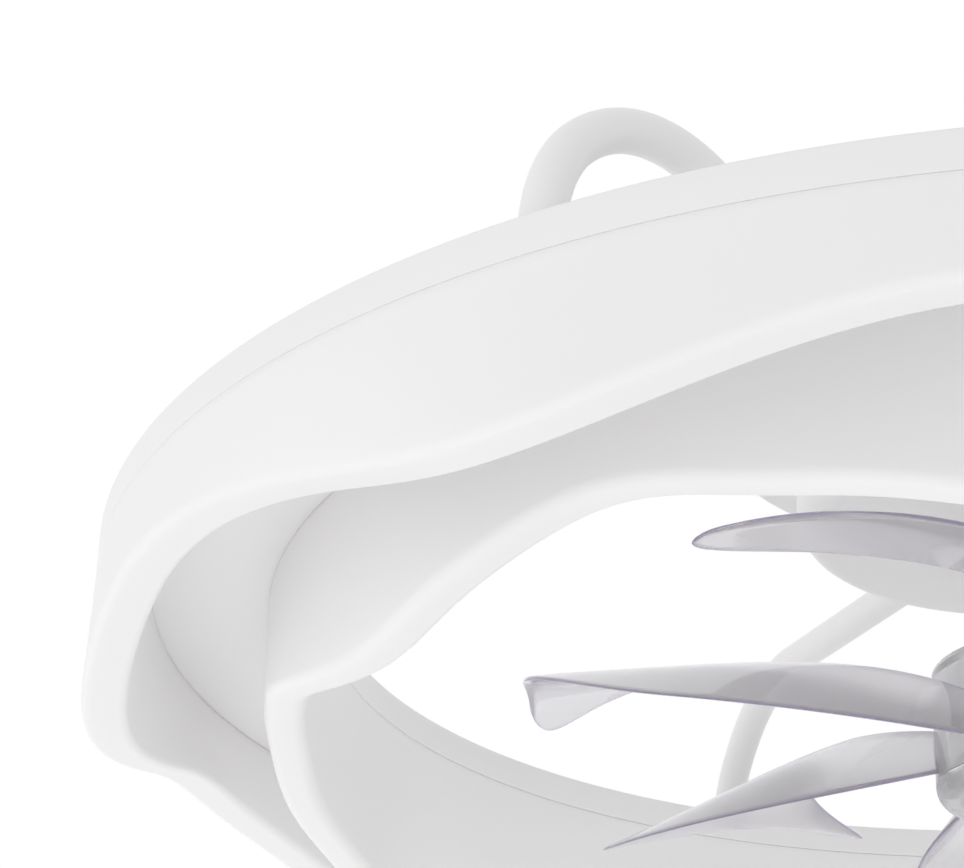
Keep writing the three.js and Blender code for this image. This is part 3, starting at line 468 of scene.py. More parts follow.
def finish(name, colour, pattern, sockets, bump, dust=0.0):
    """A procedural finish: grain (five values) or streaks (three), dust, and plain values on the shader."""
    material = bpy.data.materials.new(name)
    material.use_nodes = True
    material.diffuse_color = (*colour, 1)
    tree = material.node_tree
    tree.nodes.clear()
    out = add_node(tree, "ShaderNodeOutputMaterial", (500, 0))
    shader = add_node(tree, "ShaderNodeBsdfPrincipled", (200, 0))
    tree.links.new(shader.outputs["BSDF"], out.inputs["Surface"])
    streaked = len(pattern) == len(STREAK_LABELS)
    group, labels = (drawn_streaks, STREAK_LABELS) if streaked else (fine_grain, GRAIN_LABELS)
    source = use_group(tree, group, (-400, 0), {"Colour": (*colour, 1), **dict(zip(labels, pattern))})
    tint = source.outputs["Colour"]
    if dust:
        layer = use_group(tree, settled_dust, (-150, 150), {"Amount": dust})
        tree.links.new(tint, layer.inputs["Colour"])
        tint = layer.outputs["Colour"]
    tree.links.new(tint, shader.inputs["Base Color"])
    tree.links.new(source.outputs["Roughness"], shader.inputs["Roughness"])
    relief = add_node(tree, "ShaderNodeBump", (-50, -250))
    relief.inputs["Strength"].default_value = bump
    relief.inputs["Distance"].default_value = RELIEF_DEPTH
    tree.links.new(source.outputs["Height"], relief.inputs["Height"])
    tree.links.new(relief.outputs["Normal"], shader.inputs["Normal"])
    for label, value in sockets.items():
        shader.inputs[label].default_value = value
    return material


# Painted edge light: its lilac, how sharply it gathers on faces seen edge on, and how strongly it is painted
# there and on a rim
EDGE_LIGHT_LILAC = (0.45, 0.36, 0.64, 1)
GRAZING_POWER = 6.0
GRAZING_EDGE_LIGHT = 0.7
RIM_EDGE_LIGHT = 0.75


def paint_edge_light(material, colour):
    """Paints edge light into the colour: lilac on the faces that are seen edge on, and on the rim that a mesh
    carries as its own value, a painted stand-in for light that the clear plastic bends at its edges.
    """
    tree = material.node_tree
    shader = next(node for node in tree.nodes if node.type == "BSDF_PRINCIPLED")
    plain = shader.inputs["Base Color"].links[0].from_socket
    facing = add_node(tree, "ShaderNodeLayerWeight", (-500, 400))
    facing.inputs["Blend"].default_value = 0.5
    rim = add_node(tree, "ShaderNodeAttribute", (-500, 250), attribute_name="rim")
    f = Formula(tree)
    grazing = f.mul(f.math("POWER", facing.outputs["Facing"], GRAZING_POWER), GRAZING_EDGE_LIGHT)
    share = f.math("MINIMUM", f.add(grazing, f.mul(rim.outputs["Fac"], RIM_EDGE_LIGHT)), 1.0)
    mix = add_node(tree, "ShaderNodeMix", (0, 350), data_type="RGBA")
    f.feed(mix.inputs["Factor"], share)
    tree.links.new(plain, mix.inputs["A"])
    mix.inputs["B"].default_value = colour
    tree.links.new(mix.outputs["Result"], shader.inputs["Base Color"])


white_paint = finish("Satin white paint", (0.88, 0.872, 0.875), (0.01, 0.42, 0.05, 9.0, 1400.0),
                     {"Coat Weight": 0.15, "Coat Roughness": 0.3}, bump=0.03, dust=0.15)
milky_acrylic = finish("Milky acrylic", (0.93, 0.924, 0.922), (0.012, 0.48, 0.05, 7.0, 900.0),
                       {"Subsurface Weight": 0.2, "Subsurface Radius": (1, 1, 1), "Subsurface Scale": 0.006},
                       bump=0.01)
clear_plastic = finish("Clear lilac plastic", (0.83, 0.822, 0.838), (0.015, 0.08, 0.02, 30.0, 300.0),
                       {"Transmission Weight": 0.7, "IOR": 1.49}, bump=0.01)
# Lilac edge light painted into the clear plastic's colour at its rims and where it is seen edge on
paint_edge_light(clear_plastic, EDGE_LIGHT_LILAC)
zinc_plate = finish("Zinc plated steel", (0.62, 0.63, 0.65), (0.12, 0.32, 700.0),
                    {"Metallic": 0.95}, bump=0.02, dust=0.1)
cast_metal = finish("Cast aluminium", (0.55, 0.56, 0.58), (0.05, 0.45, 0.1, 60.0, 1200.0),
                    {"Metallic": 0.9}, bump=0.1)
motor_iron = finish("Lacquered motor iron", (0.10, 0.10, 0.11), (0.2, 0.4, 900.0),
                    {"Metallic": 0.6}, bump=0.05)
white_plastic = finish("White moulded plastic", (0.78, 0.78, 0.77), (0.02, 0.5, 0.06, 40.0, 1500.0),
                       {}, bump=0.06, dust=0.2)
black_plastic = finish("Black moulded plastic", (0.03, 0.03, 0.032), (0.1, 0.45, 0.06, 40.0, 1500.0),
                       {}, bump=0.06, dust=0.2)
light_board_finish = finish("White light board", (0.82, 0.82, 0.78), (0.02, 0.5, 0.05, 60.0, 1500.0),
                            {}, bump=0.03)


def dress(piece, material, slot_name, body, *nodes):
    """Gives a piece its finish, lets it ride on a body, and hides the solids that it stands for."""
    if not piece.data.materials:
        piece.data.materials.append(material)
    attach(piece, body)
    if nodes:
        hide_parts(*nodes)
    return piece


# ---- Light strands: a channel section carried round the ring on its waves ----
STRAND_COLUMNS_PER_WAVE = 44
WALL_STEPS = 14
WALL_STEPS_END = 0.9
CAVITY_STEPS = 8
STRAND_SHARP_DEGREES = 50
CREASE_DEGREES = 30
CREASE_SEGMENTS = 6


def strand_tree():
    """Moves a ring of section points to the waves of a strand.

    Each point carries its azimuth, the rim that its wall starts from, its wall (1 outer, 0 inner), its share
    of the height, and its own offsets."""
    lengths = [f"{kind} {part} {i + 1}" for kind in ("Radius", "Depth") for part in ("swing", "crest")
               for i in range(SWINGS)] + ["Radius mean", "Depth mean", "Width", "Ring top", "Strand top"]
    tree = new_group("Wavy strand", "GeometryNodeTree",
                     [("Geometry", "NodeSocketGeometry", None), ("Waves", "NodeSocketFloat", float(WAVES)),
                      ("Wall power", "NodeSocketFloat", WALL_POWER)]
                     + [(label, "NodeSocketFloat", 0.0) for label in lengths]
                     + [("Finish", "NodeSocketMaterial", None)],
                     [("Geometry", "NodeSocketGeometry")])
    given = add_node(tree, "NodeGroupInput", (-1200, 0))
    f = Formula(tree)

    def carried(name):
        node = add_node(tree, "GeometryNodeInputNamedAttribute", (-1200, -300), data_type="FLOAT")
        node.inputs["Name"].default_value = name
        return node.outputs["Attribute"]

    azimuth, rim, wall, share = carried("azimuth"), carried("rim"), carried("wall"), carried("share")

    def wave(kind):
        total = given.outputs[f"{kind} mean"]
        for i in range(1, SWINGS + 1):
            past_crest = f.sub(azimuth, given.outputs[f"{kind} crest {i}"])
            turn = f.mul(f.mul(given.outputs["Waves"], float(i)), past_crest)
            total = f.add(total, f.mul(given.outputs[f"{kind} swing {i}"], f.math("COSINE", turn)))
        return total

    crease = f.sub(wave("Radius"), f.mul(f.sub(1.0, wall), given.outputs["Width"]))
    floor = f.sub(given.outputs["Ring top"], wave("Depth"))
    place = f.mix(rim, crease, f.math("POWER", share, given.outputs["Wall power"]))
    place = f.add(place, carried("shift"))
    level = f.mix(given.outputs["Strand top"], f.add(floor, carried("lift")), share)
    level = f.add(level, carried("rise"))
    spot = add_node(tree, "ShaderNodeCombineXYZ", (300, 0))
    f.feed(spot.inputs["X"], f.mul(f.math("SINE", azimuth), f.mul(place, -1.0)))
    f.feed(spot.inputs["Y"], f.mul(f.math("COSINE", azimuth), f.mul(place, -1.0)))
    f.feed(spot.inputs["Z"], level)
    move = add_node(tree, "GeometryNodeSetPosition", (500, 0))
    tree.links.new(given.outputs["Geometry"], move.inputs["Geometry"])
    tree.links.new(spot.outputs["Vector"], move.inputs["Position"])
    end_shape_tree(tree, given, move.outputs["Geometry"])
    return tree


def strand_section(rims, lip_side):
    """The points of a strand's section, from the outer crease over the cavity to the inner crease."""
    face = np.append(np.linspace(0, WALL_STEPS_END, WALL_STEPS), 1)
    cavity = np.linspace(0, 1, CAVITY_STEPS)

    def point(side, share, shift, lift=0.0, rise=0.0):
        outer = side > 0
        return {"rim": rims[0] if outer else rims[1], "wall": 1.0 if outer else 0.0, "share": float(share),
                "shift": -side * shift, "lift": lift, "rise": rise}

    def outside(side, shares):
        return [point(side, share, 0) for share in shares]

    def inside(side, shares):
        shares = shares[1:] if side == lip_side else shares
        return [point(side, share, STRAND_WALL, STRAND_WALL) for share in shares]

    def lip(side):
        near = RING_SHEET + GAP
        far = near + STRAND_LIP_THICK
        spots = ((near, 0.0), (near, STRAND_LIP), (far, STRAND_LIP)) if side == lip_side else ()
        return [point(side, 0, inset, rise=rise) for inset, rise in spots]

    return (outside(1, face[::-1]) + lip(1) + inside(1, cavity)
            + inside(-1, cavity)[::-1] + lip(-1)[::-1] + outside(-1, face))


def build_strand(name, sizes):
    section = strand_section(sizes["rims"], sizes["lip_side"])
    columns, count = WAVES * STRAND_COLUMNS_PER_WAVE, len(section)
    azimuths = np.repeat(np.arange(columns) * 2 * math.pi / columns, count)
    faces = []
    for c in range(columns):
        a, b = c * count, ((c + 1) % columns) * count
        faces += [[a + i, a + (i + 1) % count, b + (i + 1) % count, b + i] for i in range(count)]
    # The points stand apart in a plain grid until the tree moves each of them to its place
    mesh = new_mesh(name, [(i, 0, c) for c in range(columns) for i in range(count)], [], faces)
    carried = {"azimuth": azimuths}
    for key, scale in (("rim", MM), ("wall", 1), ("share", 1), ("shift", MM), ("lift", MM), ("rise", MM)):
        carried[key] = np.tile([point[key] * scale for point in section], columns)
    for key, values in carried.items():
        mesh.attributes.new(key, "FLOAT", "POINT").data.foreach_set("value", values.astype(np.float32))
    piece = add_object(name, mesh)
    values = {"Waves": float(WAVES), "Wall power": WALL_POWER, "Width": sizes["width"] * MM,
              "Ring top": ring_top * MM, "Strand top": strand_top * MM, "Finish": milky_acrylic}
    for kind, key in (("Radius", "radius"), ("Depth", "depth")):
        mean, swings, crests = sizes[key]
        values[f"{kind} mean"] = mean * MM
        for i, (swing, crest) in enumerate(zip(swings, crests), 1):
            values |= {f"{kind} swing {i}": swing * MM, f"{kind} crest {i}": math.radians(crest)}
    run_tree(piece, wavy_strand, values)
    for key in carried:
        remove_attribute(piece, key)
    soften_strand(piece, count)
    return shade(piece, STRAND_SHARP_DEGREES)


def remove_attribute(piece, key):
    attributes = piece.data.attributes
    if key in attributes:
        attributes.remove(attributes[key])


def soften_strand(piece, count):
    """Rounds the creases at the ends of the section widely, and the other corners a little."""
    work = bmesh.new()
    work.from_mesh(piece.data)
    work.verts.ensure_lookup_table()
    bmesh.ops.recalc_face_normals(work, faces=work.faces)
    weight = work.edges.layers.float.new("bevel_weight_edge")
    for edge in work.edges:
        rows = {vertex.index % count for vertex in edge.verts}
        if len(rows) == 1 and edge.is_manifold and edge.calc_face_angle() > math.radians(CREASE_DEGREES):
            edge[weight] = 1.0 if rows <= {0, count - 1} else LIP_SOFTNESS / CREASE_SOFTNESS
    work.to_mesh(piece.data)
    work.free()
    modifier = piece.modifiers.new("Soft creases", "BEVEL")
    modifier.width = CREASE_SOFTNESS * MM
    modifier.segments = CREASE_SEGMENTS
    modifier.limit_method = "WEIGHT"
    plain_mesh(piece)
    remove_attribute(piece, "bevel_weight_edge")


wavy_strand = strand_tree()
for strand_name, strand_sizes, strand_node in (("strand_outer", STRAND_OUTER, "diffuser_outer"),
                                               ("strand_inner", STRAND_INNER, "diffuser_inner")):
    strand = build_strand(strand_name, strand_sizes)
    dress(strand, milky_acrylic, "milky_acrylic", "frame", strand_node)


def painted(name, node, profile, sides=192):
    """A turned piece of white painted sheet on the frame."""
    return dress(turned(name, profile, sides), white_paint, "white_paint", "frame", node)


# ---- Ring: folded sheet and the plate that closes it ----
RING_SIDES = 360
ring_inside, ring_outside = RING_INNER + RING_SHEET, RING_RADIUS - RING_SHEET
painted("ring_band", "ring_chassis", [
    (RING_RADIUS, ring_bottom, 0.3), (RING_RADIUS, ring_top, 0.9), (RING_INNER, ring_top, 0.9),
    (RING_INNER, ring_bottom, 0.3), (ring_inside, ring_bottom, 0.3), (ring_inside, ring_top - RING_SHEET, 0),
    (ring_outside, ring_top - RING_SHEET, 0), (ring_outside, ring_bottom, 0.3)], RING_SIDES)
plate_inside, plate_outside = ring_inside + BASE_PLATE_INSET, ring_outside - BASE_PLATE_INSET
painted("ring_plate", "ring_base_plate", [
    (plate_outside, ring_bottom, 0.3), (plate_outside, ring_bottom + RING_SHEET, 0.3),
    (plate_inside, ring_bottom + RING_SHEET, 0.3), (plate_inside, ring_bottom, 0.3)], RING_SIDES)

# ---- Canopy ----
tier_inner = TIER_RADIUS - TIER_WALL
painted("canopy_upper", "canopy_tier", [
    (TIER_RADIUS, -TIER_HEIGHT, 1.5), (TIER_RADIUS, 0, 0.4), (tier_inner, 0, 0.4),
    (tier_inner, tier_floor, 1.0), (TIER_HOLE, tier_floor, 0.4), (TIER_HOLE, -TIER_HEIGHT, 0.4)])
lip_inner = cup_inner - CUP_LIP_WIDTH
painted("canopy_lower", "canopy_cup", [
    (CUP_RADIUS, cup_bottom, CUP_CORNER), (CUP_RADIUS, cup_top, 0.8), (lip_inner, cup_top, 0.4),
    (lip_inner, cup_top - CUP_WALL, 0.4), (cup_inner, cup_top - CUP_WALL, 0), (cup_inner, cup_floor, 3.5),
    (STEM_RADIUS + GAP, cup_floor, 0.3), (STEM_RADIUS + GAP, cup_bottom, 0.3)])
flange_low = cup_floor + GAP
flange_top = flange_low + STEM_FLANGE_THICK
stem_bottom = cup_bottom - STEM_DROP
painted("motor_neck", "motor_stem", [
    (STEM_RADIUS, stem_bottom, 0.6), (STEM_RADIUS, flange_low, 0), (STEM_FLANGE, flange_low, 0.4),
    (STEM_FLANGE, flange_top, 0.4), (STEM_BORE, flange_top, 0.3), (STEM_BORE, stem_bottom, 0.3)], sides=96)

# ---- Hub and cap ----
HUB_SIDES = 128
hub_inner = HUB_RADIUS - HUB_WALL
under_top = hub_top - HUB_WALL
boss_bottom = under_top - HUB_BOSS_HEIGHT
dress(turned("hub_shell", [
    (HUB_RADIUS, hub_seam, 0.4), (HUB_RADIUS, hub_top, 2.5), (SHAFT_HOLE, hub_top, 0.3),
    (SHAFT_HOLE, boss_bottom, 0.3), (HUB_BOSS_RADIUS, boss_bottom, 0.6), (HUB_BOSS_RADIUS, under_top, 1.0),
    (hub_inner, under_top, 1.5), (hub_inner, hub_seam, 0.3)], HUB_SIDES),
    clear_plastic, "clear_plastic", "rotor", "hub")
cap_top = hub_bottom - GAP
cap_bottom = cap_top - CAP_DROP
cap_round = CAP_ROUND - FACE_CLEAR
spigot_top = cap_top + CAP_SPIGOT
spigot = HUB_RADIUS - HUB_WALL - GAP
dress(turned("hub_end_cap", [
    (0, cap_bottom, 0), (HUB_RADIUS, cap_bottom, cap_round), (HUB_RADIUS, cap_top, 0.3), (spigot, cap_top, 0),
    (spigot, spigot_top, 0.3), (spigot - CAP_WALL, spigot_top, 0.3),
    (spigot - CAP_WALL, cap_bottom + CAP_WALL, 1.5), (0, cap_bottom + CAP_WALL, 0)], HUB_SIDES),
    clear_plastic, "clear_plastic", "rotor", "hub_cap")


# ---- Pieces that repeat round the axis ----
def around_axis_tree():
    """Copies a piece round the Z axis, a count of times from a first azimuth by a step."""
    tree = new_group("Around the axis", "GeometryNodeTree",
                     [("Geometry", "NodeSocketGeometry", None), ("Count", "NodeSocketInt", 3),
                      ("First azimuth", "NodeSocketFloat", 0.0), ("Step", "NodeSocketFloat", 2.0),
                      ("Finish", "NodeSocketMaterial", None)],
                     [("Geometry", "NodeSocketGeometry")])
    given = add_node(tree, "NodeGroupInput", (-800, 0))
    index = add_node(tree, "GeometryNodeInputIndex", (-700, -200))
    f = Formula(tree)
    azimuth = f.add(given.outputs["First azimuth"], f.mul(index.outputs["Index"], given.outputs["Step"]))
    copies = copies_around(tree, f, given.outputs["Geometry"], given.outputs["Count"], azimuth)
    end_shape_tree(tree, given, copies)
    return tree


around_axis = around_axis_tree()


def repeat_around(piece, count, first_degrees, material):
    """Repeats a piece evenly round the axis."""
    return run_tree(piece, around_axis, {"Count": count, "First azimuth": math.radians(first_degrees),
                                         "Step": 2 * math.pi / count, "Finish": material})


# ---- Blades ----
BLADE_ROWS = 40
BLADE_CORNER_ROWS = 16
BLADE_CORNER_START = 0.06
BLADE_COLUMNS = 33
BLADE_SHARP_DEGREES = 60
NORMAL_STEP = 1e-3


def blend(near, far, share):
    return near + (far - near) * share


def along_edge(values, along):
    root, tip, bow = values
    return root + (tip - root) * along + bow * along * (1 - along)


def blade_point(along, across):
    """A point of the middle surface: along 0 to 1 from root to tip, across -1 to 1 between the edges."""
    share = (1 + across) / 2
    crown = 1 - across * across
    root = HUB_RADIUS + BLADE_ROOT_CLEAR
    tip = blend(BLADE_NEAR["tip"], BLADE_FAR["tip"], share) - BLADE_HOLLOW * crown
    radius = root + (tip - root) * along

    def between_edges(kind):
        return blend(along_edge(BLADE_NEAR[kind], along), along_edge(BLADE_FAR[kind], along), share)

    azimuth = np.radians(between_edges("azimuth"))
    level = hub_top + between_edges("level") + BLADE_CAMBER * crown * along
    return np.stack([-radius * np.sin(azimuth), -radius * np.cos(azimuth), level], axis=-1)


def blade_across(along, side):
    """Where a line of the blade lies across it, with the tip corners rounded."""
    into = np.clip((along - (1 - BLADE_CORNER)) / BLADE_CORNER, 0, 1)
    cut = 1 - np.sqrt(np.maximum(0, 1 - into ** 2))
    return blend(-1 + BLADE_CORNER_NEAR * cut, 1 - BLADE_CORNER_FAR * cut, (1 + side) / 2)


def blade_grid():
    """Places along and across the blade, closer together at the edges and at the tip corners."""
    corner = np.sin(np.linspace(BLADE_CORNER_START, math.pi / 2, BLADE_CORNER_ROWS))
    rows = np.concatenate([np.linspace(-BLADE_ROOT_REACH, 1 - BLADE_CORNER, BLADE_ROWS),
                           1 - BLADE_CORNER * (1 - corner)])
    sides = np.sin(np.linspace(-math.pi / 2, math.pi / 2, BLADE_COLUMNS))
    return np.meshgrid(rows, sides, indexing="ij")


def blade_half_thickness(along, side):
    """Full in the middle, thin at the edges, and round at the rim."""
    to_edge = np.sqrt(np.maximum(0, 1 - side ** 2))
    to_tip = np.sqrt(np.clip((1.0 - along) / BLADE_TIP_TAPER, 0, 1))
    half = (BLADE_EDGE + (BLADE_THICK - BLADE_EDGE) * (1 - side ** 2)) / 2
    return half * np.minimum(np.clip(to_edge / BLADE_EDGE_TAPER, 0, 1), to_tip)


def build_blade():
    """One blade with rounded edges, as a closed shell of two faces that meet round its rim."""
    along, side = blade_grid()
    across = blade_across(along, side)
    middle = blade_point(along, across)
    normal = np.cross(blade_point(along + NORMAL_STEP, across) - middle,
                      blade_point(along, across + NORMAL_STEP) - middle)
    normal /= np.linalg.norm(normal, axis=-1, keepdims=True)
    offset = normal * blade_half_thickness(along, side)[..., None]
    n, m = along.shape
    under = n * m
    points = np.concatenate([(middle + offset).reshape(-1, 3), (middle - offset).reshape(-1, 3)])
    faces = []
    for i in range(n - 1):
        for a in range(i * m, i * m + m - 1):
            faces.append([a, a + m, a + m + 1, a + 1])
            faces.append([under + a, under + a + 1, under + a + m + 1, under + a + m])
    rim = [i * m for i in range(n)] + [(n - 1) * m + j for j in range(1, m)] \
        + [i * m + m - 1 for i in range(n - 2, -1, -1)] + list(range(m - 2, 0, -1))
    for a, b in zip(rim, rim[1:] + rim[:1]):
        faces.append([a, b, under + b, under + a])
    blade = mesh_piece("fan_blades", points.tolist(), faces, BLADE_SHARP_DEGREES)
    mark_rim(blade, np.concatenate([middle[:, 0], middle[-1], middle[:, -1]]))
    return blade


def mark_rim(blade, outline):
    """Stores how near each point lies to the outline: 1 on it and 0 from a little way in, the mask where the
    finish paints lilac edge light.
    """
    places = np.empty(len(blade.data.vertices) * 3)
    blade.data.vertices.foreach_get("co", places)
    away = [np.min(np.linalg.norm(outline - place, axis=1)) for place in places.reshape(-1, 3) / MM]
    near = np.clip(1 - np.array(away) / BLADE_RIM_WIDTH, 0, 1).astype(np.float32)
    blade.data.attributes.new("rim", "FLOAT", "POINT").data.foreach_set("value", near)


blades = repeat_around(build_blade(), BLADES, 0.0, clear_plastic)
dress(blades, clear_plastic, "clear_plastic", "rotor", *[f"blade_{i + 1}" for i in range(BLADES)])


# ---- Tube arms ----
ARM_SIDES = 40
ARM_BEND_STEPS = 25
ARM_SHARP_DEGREES = 40


def bent_tube_tree():
    """Sweeps a round tube along a path and sets a copy at each of three azimuths."""
    tree = new_group("Bent tube arms", "GeometryNodeTree",
                     [("Geometry", "NodeSocketGeometry", None),
                      ("Tube radius", "NodeSocketFloat", ARM_RADIUS * MM),
                      ("Sides", "NodeSocketInt", ARM_SIDES), ("Azimuth 1", "NodeSocketFloat", 0.0),
                      ("Azimuth 2", "NodeSocketFloat", 0.0), ("Azimuth 3", "NodeSocketFloat", 0.0),
                      ("Finish", "NodeSocketMaterial", None)],
                     [("Geometry", "NodeSocketGeometry")])
    given = add_node(tree, "NodeGroupInput", (-1000, 0))
    links = tree.links
    path = add_node(tree, "GeometryNodeMeshToCurve", (-700, 200))
    links.new(given.outputs["Geometry"], path.inputs["Mesh"])
    section = add_node(tree, "GeometryNodeCurvePrimitiveCircle", (-700, -100))
    links.new(given.outputs["Sides"], section.inputs["Resolution"])
    links.new(given.outputs["Tube radius"], section.inputs["Radius"])
    sweep = add_node(tree, "GeometryNodeCurveToMesh", (-400, 100))
    links.new(path.outputs["Curve"], sweep.inputs["Curve"])
    links.new(section.outputs["Curve"], sweep.inputs["Profile Curve"])
    sweep.inputs["Fill Caps"].default_value = True
    index = add_node(tree, "GeometryNodeInputIndex", (-700, -300))
    f = Formula(tree)
    second = f.math("MINIMUM", index.outputs["Index"], 1.0)
    third = f.math("MAXIMUM", f.sub(index.outputs["Index"], 1.0), 0.0)
    azimuth = f.mix(f.mix(given.outputs["Azimuth 1"], given.outputs["Azimuth 2"], second),
                    given.outputs["Azimuth 3"], third)
    copies = copies_around(tree, f, sweep.outputs["Mesh"], len(ARM_AZIMUTHS), azimuth)
    end_shape_tree(tree, given, copies)
    return tree


def arm_path():
    """The middle line of an arm at azimuth 0: straight out of the cup, a wide bend, a tight bend, a leg."""
    def spoke(angle, radius):
        return Vector((math.cos(angle), math.sin(angle))) * radius

    def bend(centre, radius, first, last):
        return [centre + spoke(angle, radius) for angle in np.linspace(first, last, ARM_BEND_STEPS)]

    join = math.radians(ARM_BEND_JOIN)
    leg_centre = Vector((ARM_LEG - ARM_BEND_LEG, ring_top))
    cup_centre = leg_centre + spoke(join, ARM_BEND_LEG - ARM_BEND_CUP)
    entry = Vector((CUP_RADIUS, cup_top - ARM_ENTRY_DROP))
    across = cup_centre - entry
    climb = math.atan2(across.y, across.x) + math.asin(ARM_BEND_CUP / across.length)
    line = [entry - Vector((ARM_INSIDE, ARM_INSIDE * math.tan(climb)))]
    line += bend(cup_centre, ARM_BEND_CUP, climb + math.pi / 2, join)
    line += bend(leg_centre, ARM_BEND_LEG, join, 0)[1:]
    line.append(Vector((ARM_LEG, ring_top - RING_SHEET - ARM_BELOW)))
    return [(0, -radius, level) for radius, level in line]


arm_line = arm_path()
arm_edges = [(i, i + 1) for i in range(len(arm_line) - 1)]
arms = add_object("tube_arms", new_mesh("tube_arms", arm_line, arm_edges, []))
arm_turns = {f"Azimuth {i}": math.radians(azimuth) for i, azimuth in enumerate(ARM_AZIMUTHS, 1)}
run_tree(arms, bent_tube_tree(),
         {"Tube radius": ARM_RADIUS * MM, "Sides": ARM_SIDES, "Finish": white_paint, **arm_turns})
shade(arms, ARM_SHARP_DEGREES)
dress(arms, white_paint, "white_paint", "frame", "tube_arm_1", "tube_arm_2", "tube_arm_3")


# ---- Screws with a cross recess ----
SCREW_SIDES = 40
# As shares of the radius of the head: its flat top, and the length and half width of an arm of the cross
HEAD_FLAT = 0.72
CROSS_ARM = 0.55
CROSS_HALF_WIDTH = 0.11
# As shares of the height of the head: its straight side, and the depth of the cross
HEAD_SIDE = 0.55
CROSS_DEPTH = 0.7
CROSS_NARROWING = (0.6, 1.15)
CROSS_ABOVE = 1.0


def pan_screw(name, size, under, length):
    """One screw on the Z axis: its head stands on a level, with a cross in it, and its shank runs down."""
    shank, head, height = size
    top = under + height
    screw = turned(name, [
        (0, under - length, 0), (shank, under - length, 0.3), (shank, under, 0), (head, under, 0.25),
        (head, under + height * HEAD_SIDE, 0.7), (head * HEAD_FLAT, top, 0.5), (0, top, 0)], SCREW_SIDES)
    arm, half = head * CROSS_ARM, head * CROSS_HALF_WIDTH
    for x, y in ((arm, half), (half, arm)):
        cut_recess(screw, x, y, top - height * CROSS_DEPTH, top + CROSS_ABOVE)
    return shade(screw, SHARP_DEGREES)


def cut_recess(screw, x, y, low, high):
    """Cuts one bar of the cross, which narrows downwards, out of a screw's head."""
    corners = ((1, 1), (-1, 1), (-1, -1), (1, -1))
    points = [(sx * x * narrow, sy * y * narrow, level) for level, narrow in zip((low, high), CROSS_NARROWING)
              for sx, sy in corners]
    faces = [(3, 2, 1, 0), (4, 5, 6, 7), (0, 1, 5, 4), (1, 2, 6, 5), (2, 3, 7, 6), (3, 0, 4, 7)]
    cutter = add_object("recess", new_mesh("recess", points, [], faces))
    modifier = screw.modifiers.new("Cross", "BOOLEAN")
    modifier.object = cutter
    modifier.operation = "DIFFERENCE"
    modifier.solver = "EXACT"
    plain_mesh(screw)
    bpy.data.objects.remove(cutter)


def screws_around(kind, size, under, length, circle):
    """Three screws on a circle, which stand for the three solids of their kind."""
    screw = pan_screw(f"{kind}s", size, under, length)
    screw.data.transform(Matrix.Translation((0, -circle * MM, 0)))
    repeat_around(screw, len(NUMBERS_OF_THREE), SCREW_AZIMUTH, zinc_plate)
    dress(screw, zinc_plate, "zinc_steel", "frame", *[f"{kind}_{i}" for i in NUMBERS_OF_THREE])


ring_head = ring_top + GAP
screws_around("ring_screw", RING_SCREW, ring_head, ring_head - ring_bottom - FACE_CLEAR, RING_SCREW_CIRCLE)
cup_head = tier_floor + GAP
cup_lip = cup_top - CUP_WALL
screws_around("cup_screw", SMALL_SCREW, cup_head, cup_head - cup_lip + CUP_SCREW_REACH, CUP_SCREW_CIRCLE)
motor_head = flange_top + GAP + MOTOR_BASE_THICK + GAP
screws_around("motor_screw", SMALL_SCREW, motor_head, motor_head - cup_bottom - FACE_CLEAR,
              MOTOR_SCREW_CIRCLE)

side_screw = pan_screw("canopy_screws", SMALL_SCREW, GAP, TIER_WALL + BRACKET_TAB_THICK + CANOPY_SCREW_REACH)
side_screw.data.transform(Matrix.Translation((0, -TIER_RADIUS * MM, -CANOPY_SCREW_DROP * MM))
                          @ Matrix.Rotation(math.radians(90), 4, "X"))
repeat_around(side_screw, 2, SCREW_AZIMUTH, zinc_plate)
dress(side_screw, zinc_plate, "zinc_steel", "frame", "canopy_screw_left", "canopy_screw_right")


# ---- Small solids with softened edges ----
SOLID_SAME_POINT = 1e-6
SOFTENED_SEGMENTS = 2


def softened(node, material, slot_name, body, width):
    """A copy of a solid with its flat faces joined and its edges rounded."""
    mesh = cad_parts[node].data.copy()
    mesh.materials.clear()
    work = bmesh.new()
    work.from_mesh(mesh)
    bmesh.ops.remove_doubles(work, verts=work.verts, dist=SOLID_SAME_POINT)
    bmesh.ops.dissolve_limit(work, angle_limit=math.radians(1), verts=work.verts, edges=work.edges)
    work.to_mesh(mesh)
    work.free()
    mesh.shade_smooth()
    piece = add_object(f"{node}_finished", mesh)
    modifier = piece.modifiers.new("Rounded edges", "BEVEL")
    modifier.width = width * MM
    modifier.segments = SOFTENED_SEGMENTS
    modifier.limit_method = "ANGLE"
    modifier.angle_limit = math.radians(SHARP_DEGREES)
    plain_mesh(piece)
    shade(piece, SHARP_DEGREES)
    return dress(piece, material, slot_name, body, node)


softened("ceiling_bracket", zinc_plate, "zinc_steel", "frame", 0.3)
softened("led_driver", white_plastic, "white_plastic", "frame", 0.8)
softened("remote_receiver", black_plastic, "black_plastic", "frame", 0.8)
softened("terminal_block", white_plastic, "white_plastic", "frame", 0.4)

# ---- Solids that stay as they are, with a better finish ----
kept = {
    zinc_plate: ["hub_nut", "drive_shaft", "bearing_upper", "bearing_lower"]
    + [f"{kind}_{i}" for kind in ("ring_spacer", "arm_cup_nut", "arm_ring_nut") for i in NUMBERS_OF_THREE],
    cast_metal: ["motor_base", "motor_bell"],
    motor_iron: ["motor_stator", "magnet_ring"],
    light_board_finish: ["led_board_outer", "led_board_inner"],
}
for material, nodes in kept.items():
    for node in nodes:
        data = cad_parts[node].data
        if not data.materials:
            data.materials.append(material)
        for index in range(len(data.materials)):
            data.materials[index] = material


